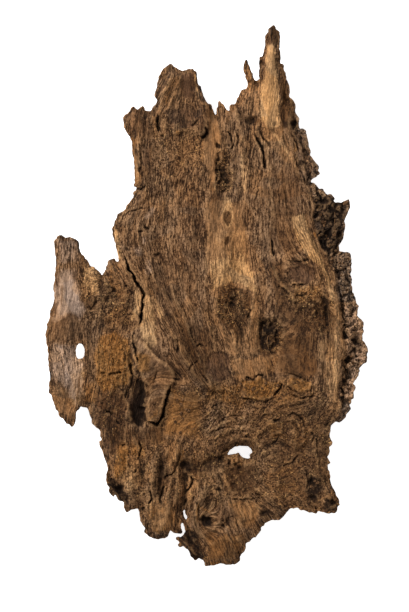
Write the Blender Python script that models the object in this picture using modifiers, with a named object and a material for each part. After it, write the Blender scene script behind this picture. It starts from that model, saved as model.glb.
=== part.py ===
"""A slab of old tree bark, lying on its corky outer side with its fibrous inner face up.

One solid. Its plan is a traced outline with three holes, and its two faces are height fields: a
shallow trough on top, with the ridges, cracks, knots and layers of the inner face, and furrowed cork
plates underneath, four of which are worn flat and carry the slab.
"""
import bpy
import bmesh
import numpy as np

# Driving sizes, in millimetres
LENGTH = 400.0
TROUGH_RADIUS_LEFT = 340.0
TROUGH_RADIUS_RIGHT = 300.0
BOW_RADIUS = 2400.0
FLOOR_GAP = 2.2
THICKNESS = 11.0
WING_THICKNESS = 6.0
WING_SOFTNESS = 14.0
THINNEST = 3.2
EDGE_WIDTH = 7.0
EDGE_THINNING = 0.45
RIM_RISE = 1.5
UNDULATION = 2.4
UNDULATION_SIZE = 52.0
LUMPS = 0.9
LUMP_SIZE = 13.0
LUMP_NARROWING = 1.3
GRAINWARD = 0.6

# How far lines waver: the reach and size in millimetres, the finer share, and the share for each kind
WANDER = 1.5
WANDER_SIZE = 12.0
FINE_WANDER_SIZE = 4.8
FINE_WANDER = 0.45
GRAIN_WANDER = 0.4
LINE_WANDER = 0.8
CORK_WANDER = 0.6
TAPER = 0.2
TIP_WIDTH = 0.3

# Fibres and torn layers of the inner face, in millimetres
FIBRE_WIDTH = 6.5
FIBRE_LENGTH = 70.0
FIBRE_RISE = 0.55
TERRACE_WIDTH = 15.0
TERRACE_LENGTH = 95.0
TERRACE_RISE = 0.65
TERRACE_COUNT = 2.6
FINE_TERRACE_WIDTH = 6.0
FINE_TERRACE = 0.5
STEP_SHARE = 0.3

# The crumbled cork of the lower third, in millimetres
CRUMBLED_SOFTNESS = 14.0
CRUMBLED_SHARE = 0.5
FIBRES_LOST = 0.5
CRUMB_SIZE = 13.0
CRUMB_SWAY = 6.5
CRUMB_SWAY_SIZE = 9.1
CRUMB_RISE = 0.8
CRUMB_LEVEL = 0.5
CRUMB_GAP_WIDTH = 0.2
CRUMB_GAP_REGION = 19.5
CRUMB_LUMP_SIZE = 7.8
CRUMB_FINE_SIZE = 3.9
CRUMB_FINE = 0.6
SWIRL_SIZE = 17.0
SWIRL_FINE_SIZE = 6.8
SWIRL_FINE = 0.5
SWIRL_RISE = 1.9
SWIRL_COUNT = 3.0

# Cork plates of the outer bark, in millimetres
PLATE_WIDTH = 15.0
PLATE_LENGTH = 44.0
PLATE_WANDER = 0.42
PLATE_JITTER = 0.4
FURROW_DEPTH = 4.6
FURROW_WIDTH = 0.3
FURROW_UNEVEN = 0.35
PLATE_STEP = 1.4
PLATE_LUMPS = 1.3
PLATE_LUMP_SIZE = 9.0

# The broken cork that shows beyond the inner face's right edge, in millimetres
CORK_DROP = 3.4
CORK_STEP_WIDTH = 5.0
BLOCK_WIDTH = 9.0
BLOCK_LENGTH = 13.0
BLOCK_DEPTH = 1.7
BLOCK_EDGE = 0.3
BLOCK_MIDDLE = 0.75
BLOCK_LEVEL = 1.3
BLOCK_TILT = 2.4
BLOCK_SWAY = 4.0
BLOCK_SWAY_SIZE = 6.4
CORK_LAYER_RISE = 1.6
CORK_LAYER_COUNT = 2.5
CORK_LAYER_NARROWING = 1.6
CORK_LAYER_FINE = 0.4

# Seeds of the noise
WANDER_SEED = 7
UNDULATION_SEED = 11
LUMP_SEED = 12
PLATE_SEED = 23
FURROW_SEED = 31
PLATE_LUMP_SEED = 32
BLOCK_SEED = 41
BLOCK_SWAY_SEED = 43
CORK_LAYER_SEED = 46
FIBRE_SEED = 51
TERRACE_SEED = 52
CRUMB_SEED = 61
CRUMB_GAP_SEED = 64
CRUMB_LUMP_SEED = 65
SWIRL_SEED = 67
NOISE_TABLE = 256
PLATE_TABLE = 64

# Mesh, in millimetres, points and triangles
BLANK_THICKNESS = 9.0
CHUNK = 20000
GRAIN_SLACK = 30.0
TINY = 1e-9
WELD = 0.01
VOXEL = 1.35
TRIANGLES = 11400
MM = 0.001

# The outline, in pixels of the picture, x to the right and y down, clockwise as seen
PICTURE_TOP = 25.0
PICTURE_BOTTOM = 566.0
PICTURE_MIDDLE_X = 206.75
TOP_LEFT_STUB = [
    (123, 118), (125.5, 114.5), (128, 114.5), (128.5, 112), (130, 111.5), (130.5, 109), (133.5, 105.5),
    (138, 110), (142.5, 106), (144, 111), (150, 111.5), (156.5, 105), (157.5, 98.5), (155, 95.5),
    (159, 77.5), (163.5, 68), (171, 64), (182, 71), (188, 68.5), (191.5, 69), (193, 67.5), (194, 70.5),
    (196.5, 71.5), (197.5, 86), (200, 86.5), (205.5, 100.5), (210.5, 104), (216, 116.5),
]
SPLINTER_AND_SPIRE = [
    (217, 114), (217, 108), (219.5, 101), (221, 104), (223.5, 104), (226, 110), (230, 111), (230, 105),
    (235, 103.5), (242, 90), (247, 88.5), (248.5, 83.5), (244, 70.5), (246, 60), (254.5, 80),
    (257, 81), (260, 79), (260, 57), (262.5, 57.5), (265.5, 46), (265, 37.5), (268.5, 32), (268.5, 29),
    (273.5, 25), (280.5, 35.5), (278.5, 49), (280, 64.5), (282, 64), (284, 66), (285, 76), (289.5, 91),
    (288.5, 97), (294.5, 104), (295, 113), (298.5, 119), (298, 127),
]
RIGHT_EDGE = [
    (299.5, 130), (303, 129.5), (305.5, 131.5), (310.5, 154), (309.5, 156), (318.5, 167.5), (317, 171),
    (319.5, 173), (309.5, 182), (314, 183.5), (319, 189), (323, 189), (326, 195.5), (330, 195),
    (334, 199), (332.5, 201.5), (335, 203.5), (340, 203.5), (348.5, 199.5), (349.5, 203), (348.5, 209),
    (344, 219), (343, 238), (338.5, 244), (338, 252), (348.5, 253), (350, 256), (350.5, 271.5),
    (349.5, 274), (351, 279), (351, 292), (358, 306.5), (355.5, 315), (362, 321.5), (362.5, 332),
    (360.5, 341), (363, 342.5), (366.5, 348.5), (365, 353), (365.5, 361), (357.5, 368), (357.5, 374.5),
    (351.5, 383.5), (355, 388), (353, 391), (352.5, 397), (350.5, 398), (350.5, 402.5), (348, 404.5),
    (350, 407.5), (338.5, 422.5), (336, 421), (330, 424.5), (329, 437), (331.5, 442.5), (330, 445.5),
    (328, 444.5), (329, 451), (326.5, 456.5), (330, 462), (327.5, 464.5), (327.5, 468.5), (329, 471),
    (329, 479.5), (336.5, 496.5), (338.5, 498.5), (337.5, 502), (339, 504), (336.5, 504.5), (336, 510),
    (333, 512), (328.5, 512),
]
FOOT = [
    (325, 511.5), (317, 510.5), (316, 512), (310, 512), (303, 509), (300, 509.5), (296, 506.5),
    (293.5, 508), (290.5, 507), (281, 518.5), (279, 520), (273, 519), (267, 521.5), (264, 525.5),
    (260, 528), (261, 529.5), (255.5, 537), (253, 537), (249, 542), (245.5, 541.5), (245, 548.5),
    (240, 556.5), (240, 560), (235.5, 564), (226.5, 565), (221, 562.5), (213.5, 565.5), (205.5, 566),
    (204, 559.5), (199, 558), (195, 560), (191, 556), (188, 549), (183, 545.5), (180, 547.5),
    (178, 545), (180, 543), (179, 540.5), (176, 539), (177, 537.5), (181, 538), (187, 531.5),
    (182.5, 522), (180.5, 524), (182, 532.5), (181, 533.5), (169, 530.5), (168, 535.5), (158, 539.5),
    (148.5, 536), (144.5, 532.5), (146.5, 528), (141, 521), (139, 508.5), (131, 509.5), (127, 512.5),
    (124, 501.5), (119, 499.5), (115.5, 493.5), (114, 494), (114, 496.5), (112.5, 496), (109, 491),
    (109.5, 486.5), (107, 483.5), (108.5, 468), (99.5, 441.5), (102, 440.5), (100, 430), (93, 423.5),
    (87.5, 407), (83.5, 407), (80, 405),
]
LEFT_WING = [
    (79, 409), (76, 411.5), (75.5, 421), (72.5, 427), (69, 423.5), (67.5, 423.5), (64, 417.5),
    (61, 416.5), (56.5, 409), (52.5, 395), (49.5, 392.5), (51.5, 379), (47, 335), (55.5, 292),
    (54, 290.5), (56.5, 262), (55.5, 241), (57.5, 236.5), (59.5, 236), (64.5, 238.5), (69, 237.5),
    (76.5, 240), (78.5, 242.5), (79.5, 251), (87.5, 260.5), (90.5, 267.5), (93.5, 267), (102.5, 276.5),
    (108, 264.5), (108, 261.5), (114.5, 258.5), (115.5, 261.5), (119, 261.5), (112, 228),
]
LEFT_SHOULDER = [
    (113.5, 226), (118, 214), (123, 211.5), (129, 203.5), (137, 187.5), (136, 185.5), (134.5, 187),
    (134, 158), (132, 143), (123.5, 121),
]
OUTLINE = TOP_LEFT_STUB + SPLINTER_AND_SPIRE + RIGHT_EDGE + FOOT + LEFT_WING + LEFT_SHOULDER
WING_HOLE = [
    (78, 343), (82.5, 343), (84.5, 346.5), (85, 353), (83.5, 358.5), (78, 359.5), (75.5, 355), (75.5, 346),
]
CRESCENT_HOLE = [
    (226, 456), (230, 450.5), (234.5, 447), (240, 445.5), (249, 445.5), (253, 451.5), (250.5, 459.5),
    (246.5, 459), (242.5, 457.5), (238.5, 453.5), (232.5, 455),
]
SLOT_HOLE = [
    (181.5, 510.5), (185.5, 508), (186, 513), (188, 516.5), (187, 519.5), (185.5, 521), (183, 516),
]
LOOPS = (OUTLINE, WING_HOLE, CRESCENT_HOLE, SLOT_HOLE)

# The inner face's broken right edge, with cork beyond it, closed far outside the outline
CORK_SIDE = [
    (300, 20), (300, 100), (292, 124), (296, 132), (303, 146), (306, 165), (307, 181),
    (311, 190), (316, 205), (313, 216), (314, 228), (319, 240), (326, 250), (331, 262), (334, 275),
    (338, 290), (339, 305), (341, 320), (343, 335), (346, 350), (343, 362), (341, 378), (340, 395),
    (342, 407), (338, 424), (420, 430), (420, 20),
]
# Black gaps between the blocks of that cork: centre, half sizes in pixels, depth in millimetres
CORK_GAPS = [
    ((325, 240), (7, 10), 4.0),
    ((323, 202), (6, 2.5), 3.0),
    ((331, 218), (2.5, 8), 2.5),
    ((354, 340), (4, 5), 3.5),
    ((345, 400), (5, 2.5), 3.0),
]
# The thin left wing
WING = [(30, 220), (84, 220), (92, 262), (98, 300), (96, 340), (92, 380), (88, 420), (70, 450), (30, 450)]
# Where one layer lies over the next: points, lift and width of the step in millimetres
LAYERS = [
    ([(158, 60), (197, 60), (204, 98), (209, 112), (209, 128), (204, 137), (194, 136), (184, 132), (174, 134),
      (165, 128), (160, 116), (158, 100)], 2.0, 2.4),
    ([(206, 98), (214, 110), (220, 126), (222, 146), (217, 158), (216, 176), (213, 192), (208, 190),
      (206, 172), (201, 156), (200, 142), (207, 132)], -1.4, 3.0),
    ([(113, 226), (128, 213), (146, 201), (162, 190), (172, 181), (190, 178), (204, 195), (206, 240),
      (204, 300), (170, 300), (148, 262), (128, 246)], -1.2, 3.5),
    ([(132, 335), (148, 346), (176, 372), (174, 384), (166, 402), (159, 421), (146, 421), (145, 404),
      (142, 380), (134, 360)], 3.2, 1.8),
    ([(131, 374), (139, 381), (147, 385), (148, 404), (147, 420), (141, 428), (134, 424), (130, 410),
      (127, 394)], -2.8, 2.4),
    ([(207, 354), (217, 350), (228, 353), (231, 364), (230, 376), (222, 382), (213, 380),
      (207, 370)], -1.4, 2.4),
    ([(242, 383), (252, 380), (259, 376), (267, 381), (281, 384), (275, 396), (264, 401),
      (244, 399)], 1.8, 1.4),
    ([(290, 379), (300, 378), (311, 382), (309, 390), (298, 391), (290, 386)], 1.4, 1.4),
    ([(232, 360), (241, 358), (252, 360), (262, 356), (271, 356), (269, 367), (266, 375), (254, 377),
      (244, 381), (235, 380)], 0.9, 1.6),
    ([(60, 392), (100, 402), (150, 428), (200, 402), (300, 404), (350, 416), (360, 600),
      (60, 600)], -1.4, 6.0),
]
# Where the inner face has crumbled to cork
CRUMBLED = [
    (150, 396), (190, 388), (240, 384), (300, 380), (345, 400), (345, 520), (240, 580), (200, 570),
    (176, 530), (196, 470), (190, 440), (150, 424),
]
# Raised lines: points, half width and height in millimetres
RIDGES = [
    ([(297, 228), (305, 240), (312, 252), (320, 265), (327, 275), (331, 290), (334, 305), (337, 325),
      (337, 345), (335, 370), (334, 408)], 5.0, 4.2),
    ([(272, 262), (276, 275), (281, 284), (288, 294), (295, 300), (304, 304)], 2.6, 2.2),
    ([(273, 34), (270, 60), (269, 90), (269, 124), (276, 142)], 6.0, 3.0),
    ([(157, 122), (162, 100), (170, 84), (180, 68)], 3.2, 2.4),
    ([(190, 72), (196, 92), (208, 112)], 2.6, 1.6),
    ([(137, 112), (140, 132), (137, 160), (136, 186)], 3.0, 1.8),
    ([(236, 106), (240, 125), (246, 145), (243, 168)], 3.4, 2.2),
    ([(255, 110), (262, 140), (268, 165), (272, 200), (272, 238)], 3.4, 1.8),
    ([(114, 226), (117, 243), (122, 262)], 2.2, 2.2),
    ([(150, 290), (165, 322), (184, 354), (203, 384), (222, 389), (243, 394)], 3.0, 2.4),
    ([(165, 270), (182, 312), (199, 350), (207, 374)], 2.6, 1.6),
    ([(207, 318), (213, 334), (214, 350)], 1.8, 1.4),
    ([(207, 120), (209, 180), (207, 240), (212, 300)], 3.0, 1.2),
    ([(252, 262), (256, 290), (250, 322), (246, 350)], 3.4, 1.8),
    ([(116, 446), (120, 466), (131, 498)], 4.2, 3.2),
    ([(131, 432), (148, 462), (152, 486)], 3.6, 2.0),
    ([(150, 438), (155, 458), (152, 480), (148, 500), (150, 522)], 3.6, 2.4),
    ([(166, 486), (168, 500), (164, 516), (158, 532)], 3.0, 1.8),
    ([(178, 444), (172, 468), (177, 490), (172, 508)], 3.2, 2.2),
    ([(196, 478), (198, 498), (192, 510)], 2.6, 1.6),
    ([(162, 456), (160, 470), (158, 486), (162, 502)], 2.2, -1.8),
    ([(185, 470), (184, 490), (182, 506)], 2.0, -1.6),
    ([(143, 450), (141, 470), (143, 492)], 2.0, -1.4),
    ([(181, 465), (192, 470), (203, 466), (214, 460), (229, 456)], 3.0, -2.6),
    ([(222, 459), (236, 457.5), (245, 463), (258, 460)], 2.8, 2.4),
    ([(215, 470), (221, 466), (225, 474), (229, 488), (238, 496), (260, 499)], 2.0, 2.0),
    ([(262, 500), (278, 498), (294, 490)], 3.0, 1.6),
    ([(222, 446), (236, 438), (252, 439), (263, 448), (266, 464)], 1.8, 1.6),
    ([(212, 442), (226, 431), (246, 427), (266, 434)], 2.0, 1.4),
    ([(206, 432), (222, 422), (244, 419), (262, 424)], 1.8, 1.2),
    ([(268, 470), (280, 478), (276, 488)], 2.4, 1.4),
    ([(222, 530), (228, 520), (238, 514)], 2.2, -1.6),
    ([(206, 545), (224, 538), (246, 538)], 3.0, 1.4),
    ([(300, 410), (312, 440), (322, 480), (330, 505)], 4.0, 2.0),
    ([(62, 262), (66, 310), (60, 372), (66, 410)], 4.0, 1.2),
]
# Cracks: points, half width and depth in millimetres
CRACKS = [
    ([(123, 252), (128.5, 265), (130, 270), (133, 275.5), (135, 281), (138.5, 286), (143.5, 295),
      (142.5, 299), (141, 312), (140, 319), (136, 328.5)], 1.4, 8.0),
    ([(130.5, 363), (130.8, 376)], 1.4, 5.0),
    ([(174, 383), (170, 388), (167, 398), (164.5, 408), (162, 417), (158, 424), (152, 421.5),
      (144, 420)], 1.4, 7.5),
    ([(145, 440), (143, 446), (140.5, 452), (139, 458), (139.5, 464)], 1.4, 4.0),
    ([(151, 484), (151, 500), (148, 505), (144, 509), (143, 514)], 1.4, 5.0),
    ([(167, 477), (173, 475), (176.5, 471), (179, 468), (185, 464)], 1.4, 3.0),
    ([(193, 469), (191.5, 478), (190.5, 485), (187.5, 490), (187, 495)], 1.4, 4.0),
    ([(254, 133), (258, 140), (262, 147), (263.5, 155), (264.5, 165), (265, 174)], 1.4, 4.5),
    ([(243, 380), (247, 377.5), (252, 382), (255, 379), (257, 375.5), (266, 374.5)], 1.4, 3.0),
    ([(277, 383), (281, 385), (280, 388), (276, 395), (270, 399), (264, 401.5)], 1.4, 3.4),
    ([(272, 419.5), (281, 420)], 1.4, 3.0),
    ([(105, 412), (112, 412), (118, 423), (128, 429)], 1.4, 3.0),
    ([(217, 148), (216, 170), (215, 180), (217, 192)], 1.4, 3.5),
    ([(158, 114), (158.5, 124), (159.5, 134)], 1.4, 3.0),
    ([(206, 126), (206.5, 134), (201, 139.5)], 1.4, 3.4),
]
# Hollows and knots: centre, half sizes in pixels, height in millimetres, negative for a hollow
BUMPS = [
    ((138, 402), (8, 24), -3.6),
    ((270, 337), (12, 16), -3.8),
    ((252, 120), (7, 5), -2.0),
    ((323, 313), (10, 19), -3.4),
    ((303, 272), (16, 12), -2.6),
    ((223, 170), (7, 22), -4.0),
    ((206, 521), (6, 7), -4.5),
    ((119, 489), (5, 6), -4.0),
    ((316, 487), (8, 9), -2.2),
    ((236, 452), (20, 11), -1.8),
    ((241, 480), (17, 14), -2.6),
    ((205, 464), (24, 7), -2.2),
    ((246, 514), (14, 10), 1.6),
    ((162, 516), (12, 16), 1.6),
    ((122, 462), (9, 15), 1.4),
    ((232, 305), (15, 24), 1.8),
    ((231, 306), (6, 11), -2.6),
    ((226.5, 218), (5, 7), 1.3),
    ((89, 302), (8, 10), 1.4),
    ((294, 434), (8, 11), 2.4),
    ((276, 428), (8, 9), 1.8),
    ((206, 521), (14, 14), 1.8),
    ((108, 362), (20, 26), 1.6),
    ((222, 545), (18, 18), 1.6),
]
# How the grain runs: a line's own place across the grain, in pixels, and the points that it passes
GRAIN_LINES = [
    (50, [(57, 240), (54, 300), (50, 350), (60, 410)]),
    (76, [(78, 245), (84, 300), (81, 360), (74, 420)]),
    (102, [(104, 275), (109, 320), (106, 370), (99, 430), (108, 480)]),
    (126, [(126, 130), (131, 180), (118, 220), (120, 255), (134, 282), (139, 310), (132, 350), (128, 400),
           (122, 440), (130, 490)]),
    (148, [(148, 130), (148, 160), (144, 210), (145, 262), (156, 300), (172, 335), (190, 372), (206, 392)]),
    (162, [(155, 128), (159, 112), (166, 96), (176, 76)]),
    (146, [(158, 400), (142, 440), (150, 500), (152, 530)]),
    (166, [(184, 412), (164, 444), (168, 480), (164, 525)]),
    (184, [(182, 75), (180, 130), (176, 190), (176, 250), (184, 300), (196, 345), (206, 376), (214, 392)]),
    (188, [(206, 424), (186, 446), (184, 480), (182, 500)]),
    (208, [(204, 110), (208, 160), (207, 220), (209, 280), (213, 325), (221, 356), (229, 384)]),
    (216, [(214, 452), (214, 480), (212, 500), (222, 560)]),
    (232, [(228, 115), (229, 160), (229, 220), (232, 265), (240, 340), (247, 384)]),
    (262, [(268, 40), (264, 90), (262, 140), (260, 200), (260, 260), (264, 310), (262, 360), (262, 400)]),
    (290, [(284, 110), (288, 160), (291, 210), (301, 245), (312, 280), (318, 320), (318, 370), (308, 410)]),
    (296, [(300, 425), (308, 470), (300, 505)]),
    (312, [(300, 140), (306, 180), (312, 222), (324, 258), (333, 295), (337, 335), (336, 400)]),
    (318, [(324, 430), (322, 470), (330, 505)]),
    (346, [(345, 205), (342, 260), (350, 310), (358, 350), (348, 400)]),
]
# Where the grain swells round a knot: centre, reach and push across the grain, all in pixels
GRAIN_KNOTS = [
    ((231, 307), 17, 8),
    ((269, 338), 15, 8),
    ((226.5, 218), 7, 4),
    ((206, 521), 13, 22),
    ((262, 464), 40, 62),
    ((294, 434), 10, -14),
    ((303, 272), 14, -4),
    ((89, 302), 9, 6),
]
# Worn plates that touch the floor: centre in pixels, half sizes in millimetres
FEET = [
    ((154, 240), (9.0, 13.0)),
    ((262, 226), (9.0, 12.0)),
    ((256, 412), (10.0, 12.0)),
    ((176, 430), (8.5, 12.5)),
]
FOOT_BLEND = 16.0
FOOT_SNAP = 0.2

# Finish
BARK_COLOUR = (0.165, 0.092, 0.045, 1.0)
BARK_ROUGHNESS = 0.88

SCALE = LENGTH / (PICTURE_BOTTOM - PICTURE_TOP)
PICTURE_MIDDLE_Y = (PICTURE_TOP + PICTURE_BOTTOM) / 2


def clear_scene():
    for thing in list(bpy.data.objects):
        bpy.data.objects.remove(thing, do_unlink=True)


def plan(points):
    """Picture points as millimetres in plan, x to the right and y up the picture."""
    p = np.array(points, float).reshape(-1, 2)
    return np.column_stack(((p[:, 0] - PICTURE_MIDDLE_X) * SCALE, (PICTURE_MIDDLE_Y - p[:, 1]) * SCALE))


def ease(value):
    """A smooth step from 0 to 1, as value goes from 0 to 1."""
    v = np.clip(value, 0.0, 1.0)
    return v * v * (3.0 - 2.0 * v)


def line_place(x, y, line):
    """How far each point lies from a line of plan points, and its share of the way along it."""
    nearest = np.full(len(x), np.inf)
    share = np.zeros(len(x))
    lengths = np.hypot(*np.diff(line, axis=0).T)
    walked = 0.0
    for start, end, length in zip(line, line[1:], lengths):
        run = end - start
        along = np.clip(((x - start[0]) * run[0] + (y - start[1]) * run[1]) / length ** 2, 0.0, 1.0)
        gap = np.hypot(x - start[0] - along * run[0], y - start[1] - along * run[1])
        nearer = gap < nearest
        nearest = np.where(nearer, gap, nearest)
        share = np.where(nearer, walked + along * length, share)
        walked += length
    return nearest, share / walked


def loop_distance(x, y, loop):
    """How far each point lies from a closed line of plan points."""
    return line_place(x, y, np.vstack((loop, loop[:1])))[0]


def tapered(x, y, points, width):
    """1 along a line and 0 a width or two away from it, narrower and fainter towards both its ends."""
    distance, share = line_place(x, y, plan(points))
    ends = ease(share / TAPER) * ease((1.0 - share) / TAPER)
    return np.exp(-((distance / (width * (TIP_WIDTH + (1.0 - TIP_WIDTH) * ends))) ** 2)) * ends


def inside(x, y, area):
    """Whether each point lies within a closed area, by counting its crossings."""
    found = np.zeros(len(x), bool)
    for (x0, y0), (x1, y1) in zip(area, np.roll(area, -1, axis=0)):
        if y0 != y1:
            crosses = ((y0 > y) != (y1 > y)) & (x < (x1 - x0) * (y - y0) / (y1 - y0) + x0)
            found ^= crosses
    return found


def coverage(x, y, points, softness):
    """1 within an area and 0 outside, with a smooth edge of the given width."""
    area = plan(points)
    distance = loop_distance(x, y, area)
    signed = np.where(inside(x, y, area), distance, -distance)
    return ease(0.5 + signed / softness)


def hills(x, y, size, seed):
    """Smooth noise from -1 to 1, with hills about the given size apart."""
    side = NOISE_TABLE
    table = np.random.default_rng(seed).uniform(-1.0, 1.0, (side, side))
    gx = x / size
    gy = y / size
    ix = np.floor(gx).astype(int)
    iy = np.floor(gy).astype(int)
    sx = ease(gx - ix)
    sy = ease(gy - iy)
    low = table[ix % side, iy % side] * (1 - sx) + table[(ix + 1) % side, iy % side] * sx
    high = table[ix % side, (iy + 1) % side] * (1 - sx) + table[(ix + 1) % side, (iy + 1) % side] * sx
    return low * (1 - sy) + high * sy


def plates(x, y, width, length, seed):
    """Irregular plates: how deep each point lies in its plate, from 0 at its edge, the plate's level,
    and how far the plate's own tilt lifts the point."""
    rng = np.random.default_rng(seed)
    jitter = 0.5 + rng.uniform(-PLATE_JITTER, PLATE_JITTER, (PLATE_TABLE, PLATE_TABLE, 2))
    levels = rng.uniform(-1.0, 1.0, (PLATE_TABLE, PLATE_TABLE))
    slopes = rng.uniform(-1.0, 1.0, (PLATE_TABLE, PLATE_TABLE, 2))
    gx = x / width + PLATE_WANDER * hills(x, y, width, seed + 1)
    gy = y / length + PLATE_WANDER * hills(x, y, width, seed + 2)
    ix = np.floor(gx).astype(int)
    iy = np.floor(gy).astype(int)
    first = np.full(len(x), np.inf)
    second = np.full(len(x), np.inf)
    level = np.zeros(len(x))
    tilt = np.zeros(len(x))
    for dx in (-1, 0, 1):
        for dy in (-1, 0, 1):
            column = (ix + dx) % PLATE_TABLE
            row = (iy + dy) % PLATE_TABLE
            off_x = ix + dx + jitter[column, row, 0] - gx
            off_y = iy + dy + jitter[column, row, 1] - gy
            gap = np.hypot(off_x, off_y)
            nearer = gap < first
            second = np.where(nearer, first, np.minimum(second, gap))
            lean = slopes[column, row, 0] * off_x + slopes[column, row, 1] * off_y
            level = np.where(nearer, levels[column, row], level)
            tilt = np.where(nearer, lean, tilt)
            first = np.where(nearer, gap, first)
    return second - first, level, tilt


def trough(x, y):
    """The slab's middle form: a shallow trough along y that rises a little at both ends."""
    across = np.where(x < 0, x * x / (2 * TROUGH_RADIUS_LEFT), x * x / (2 * TROUGH_RADIUS_RIGHT))
    return across + y * y / (2 * BOW_RADIUS)


def thickness(x, y, edge):
    """The slab's thickness under its inner face, less at the wing and at every edge."""
    wing = coverage(x, y, WING, WING_SOFTNESS)
    full = THICKNESS + (WING_THICKNESS - THICKNESS) * wing
    return full * (1.0 - EDGE_THINNING * (1.0 - ease(edge / EDGE_WIDTH)))


def wandering(x, y, share):
    """The plan with its lines made to waver, as torn and split edges do."""
    dx = hills(x, y, WANDER_SIZE, WANDER_SEED)
    dy = hills(x, y, WANDER_SIZE, WANDER_SEED + 1)
    dx += FINE_WANDER * hills(x, y, FINE_WANDER_SIZE, WANDER_SEED + 2)
    dy += FINE_WANDER * hills(x, y, FINE_WANDER_SIZE, WANDER_SEED + 3)
    return x + share * WANDER * dx, y + share * WANDER * dy


def spread(x, y, places):
    """Thin-plate weights of each place at each point, then the constant and the slopes."""
    gap = (x[:, None] - places[:, 0]) ** 2 + (y[:, None] - places[:, 1]) ** 2
    return np.column_stack((gap * np.log(gap + TINY), np.ones(len(x)), x, y))


def grain_field():
    """Weights of a smooth surface through the grain lines, whose level lines are the fibres."""
    places = np.vstack([plan(points) for _, points in GRAIN_LINES])
    values = np.concatenate([np.full(len(points), value * SCALE) for value, points in GRAIN_LINES])
    rows = spread(places[:, 0], places[:, 1], places)
    count = len(places)
    system = np.zeros((count + 3, count + 3))
    system[:count] = rows
    system[count:, :count] = rows[:, count:].T
    system[:count, :count] += np.eye(count) * GRAIN_SLACK
    return places, np.linalg.solve(system, np.append(values, np.zeros(3)))


def across_grain(x, y):
    """Each point's place across the grain, in millimetres: the same all along one fibre."""
    places, weights = grain_field()
    across = np.concatenate(
        [spread(x[i:i + CHUNK], y[i:i + CHUNK], places) @ weights for i in range(0, len(x), CHUNK)]
    )
    for centre, reach, push in GRAIN_KNOTS:
        cx, cy = plan(centre)[0]
        across += push * SCALE * np.exp(-((x - cx) ** 2 + (y - cy) ** 2) / (reach * SCALE) ** 2)
    return across


def terraces(height, count):
    """Turns smooth hills into flat layers with short steps between them."""
    scaled = height * count
    base = np.floor(scaled)
    return (base + ease((scaled - base - 0.5) / STEP_SHARE + 0.5)) / count


def fibres(across, y):
    """Bundles of fibre and thin torn layers that follow the grain."""
    bundles = 1.0 - 2.0 * np.abs(hills(across, y * FIBRE_WIDTH / FIBRE_LENGTH, FIBRE_WIDTH, FIBRE_SEED))
    along = y * TERRACE_WIDTH / TERRACE_LENGTH
    layers = hills(across, along, TERRACE_WIDTH, TERRACE_SEED)
    layers += FINE_TERRACE * hills(across, along, FINE_TERRACE_WIDTH, TERRACE_SEED + 1)
    return FIBRE_RISE * bundles + TERRACE_RISE * TERRACE_COUNT * terraces(layers, TERRACE_COUNT)


def crumbs(x, y):
    """The broken cork of the lower third: lumps, gaps between some of them, and swirled layers."""
    depth, level, _ = plates(
        x + CRUMB_SWAY * hills(x, y, CRUMB_SWAY_SIZE, CRUMB_SEED + 1),
        y + CRUMB_SWAY * hills(x, y, CRUMB_SWAY_SIZE, CRUMB_SEED + 2),
        CRUMB_SIZE, CRUMB_SIZE, CRUMB_SEED,
    )
    open_here = ease(2.0 * hills(x, y, CRUMB_GAP_REGION, CRUMB_GAP_SEED) - STEP_SHARE)
    gaps = (1.0 - ease(depth / CRUMB_GAP_WIDTH)) * open_here
    lumps = hills(x, y, CRUMB_LUMP_SIZE, CRUMB_LUMP_SEED)
    lumps += CRUMB_FINE * np.abs(hills(x, y, CRUMB_FINE_SIZE, CRUMB_LUMP_SEED + 1))
    swirl = hills(x + CRUMB_SWAY * level, y, SWIRL_SIZE, SWIRL_SEED)
    swirl += SWIRL_FINE * hills(x, y, SWIRL_FINE_SIZE, SWIRL_SEED + 1)
    return CRUMB_RISE * (CRUMB_LEVEL * level + lumps - gaps) + SWIRL_RISE * terraces(swirl, SWIRL_COUNT)


def mound(x, y, centre, half):
    """1 at a place of the picture and 0 beyond its half sizes, with a rounded edge."""
    cx, cy = plan(centre)[0]
    radius = np.hypot((x - cx) / (half[0] * SCALE), (y - cy) / (half[1] * SCALE))
    return np.exp(-(radius ** 3))


def inner_relief(x, y):
    """Height of the layers, ridges, cracks, knots and hollows over the trough's own surface."""
    height = UNDULATION * hills(x, y * GRAINWARD, UNDULATION_SIZE, UNDULATION_SEED)
    height += LUMPS * hills(x * LUMP_NARROWING, y * GRAINWARD, LUMP_SIZE, LUMP_SEED)
    grain_x, grain_y = wandering(x, y, GRAIN_WANDER)
    crumbled = CRUMBLED_SHARE * coverage(x, y, CRUMBLED, CRUMBLED_SOFTNESS)
    height += fibres(across_grain(grain_x, grain_y), grain_y) * (1.0 - FIBRES_LOST * crumbled)
    height += crumbs(x, y) * crumbled
    for points, width, depth in CRACKS:
        height -= depth * tapered(grain_x, grain_y, points, width)
    x, y = wandering(x, y, LINE_WANDER)
    for points, lift, step in LAYERS:
        height += lift * coverage(x, y, points, step)
    for points, width, rise in RIDGES:
        height += rise * tapered(x, y, points, width)
    for centre, half, rise in BUMPS:
        height += rise * mound(x, y, centre, half)
    return height


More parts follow.
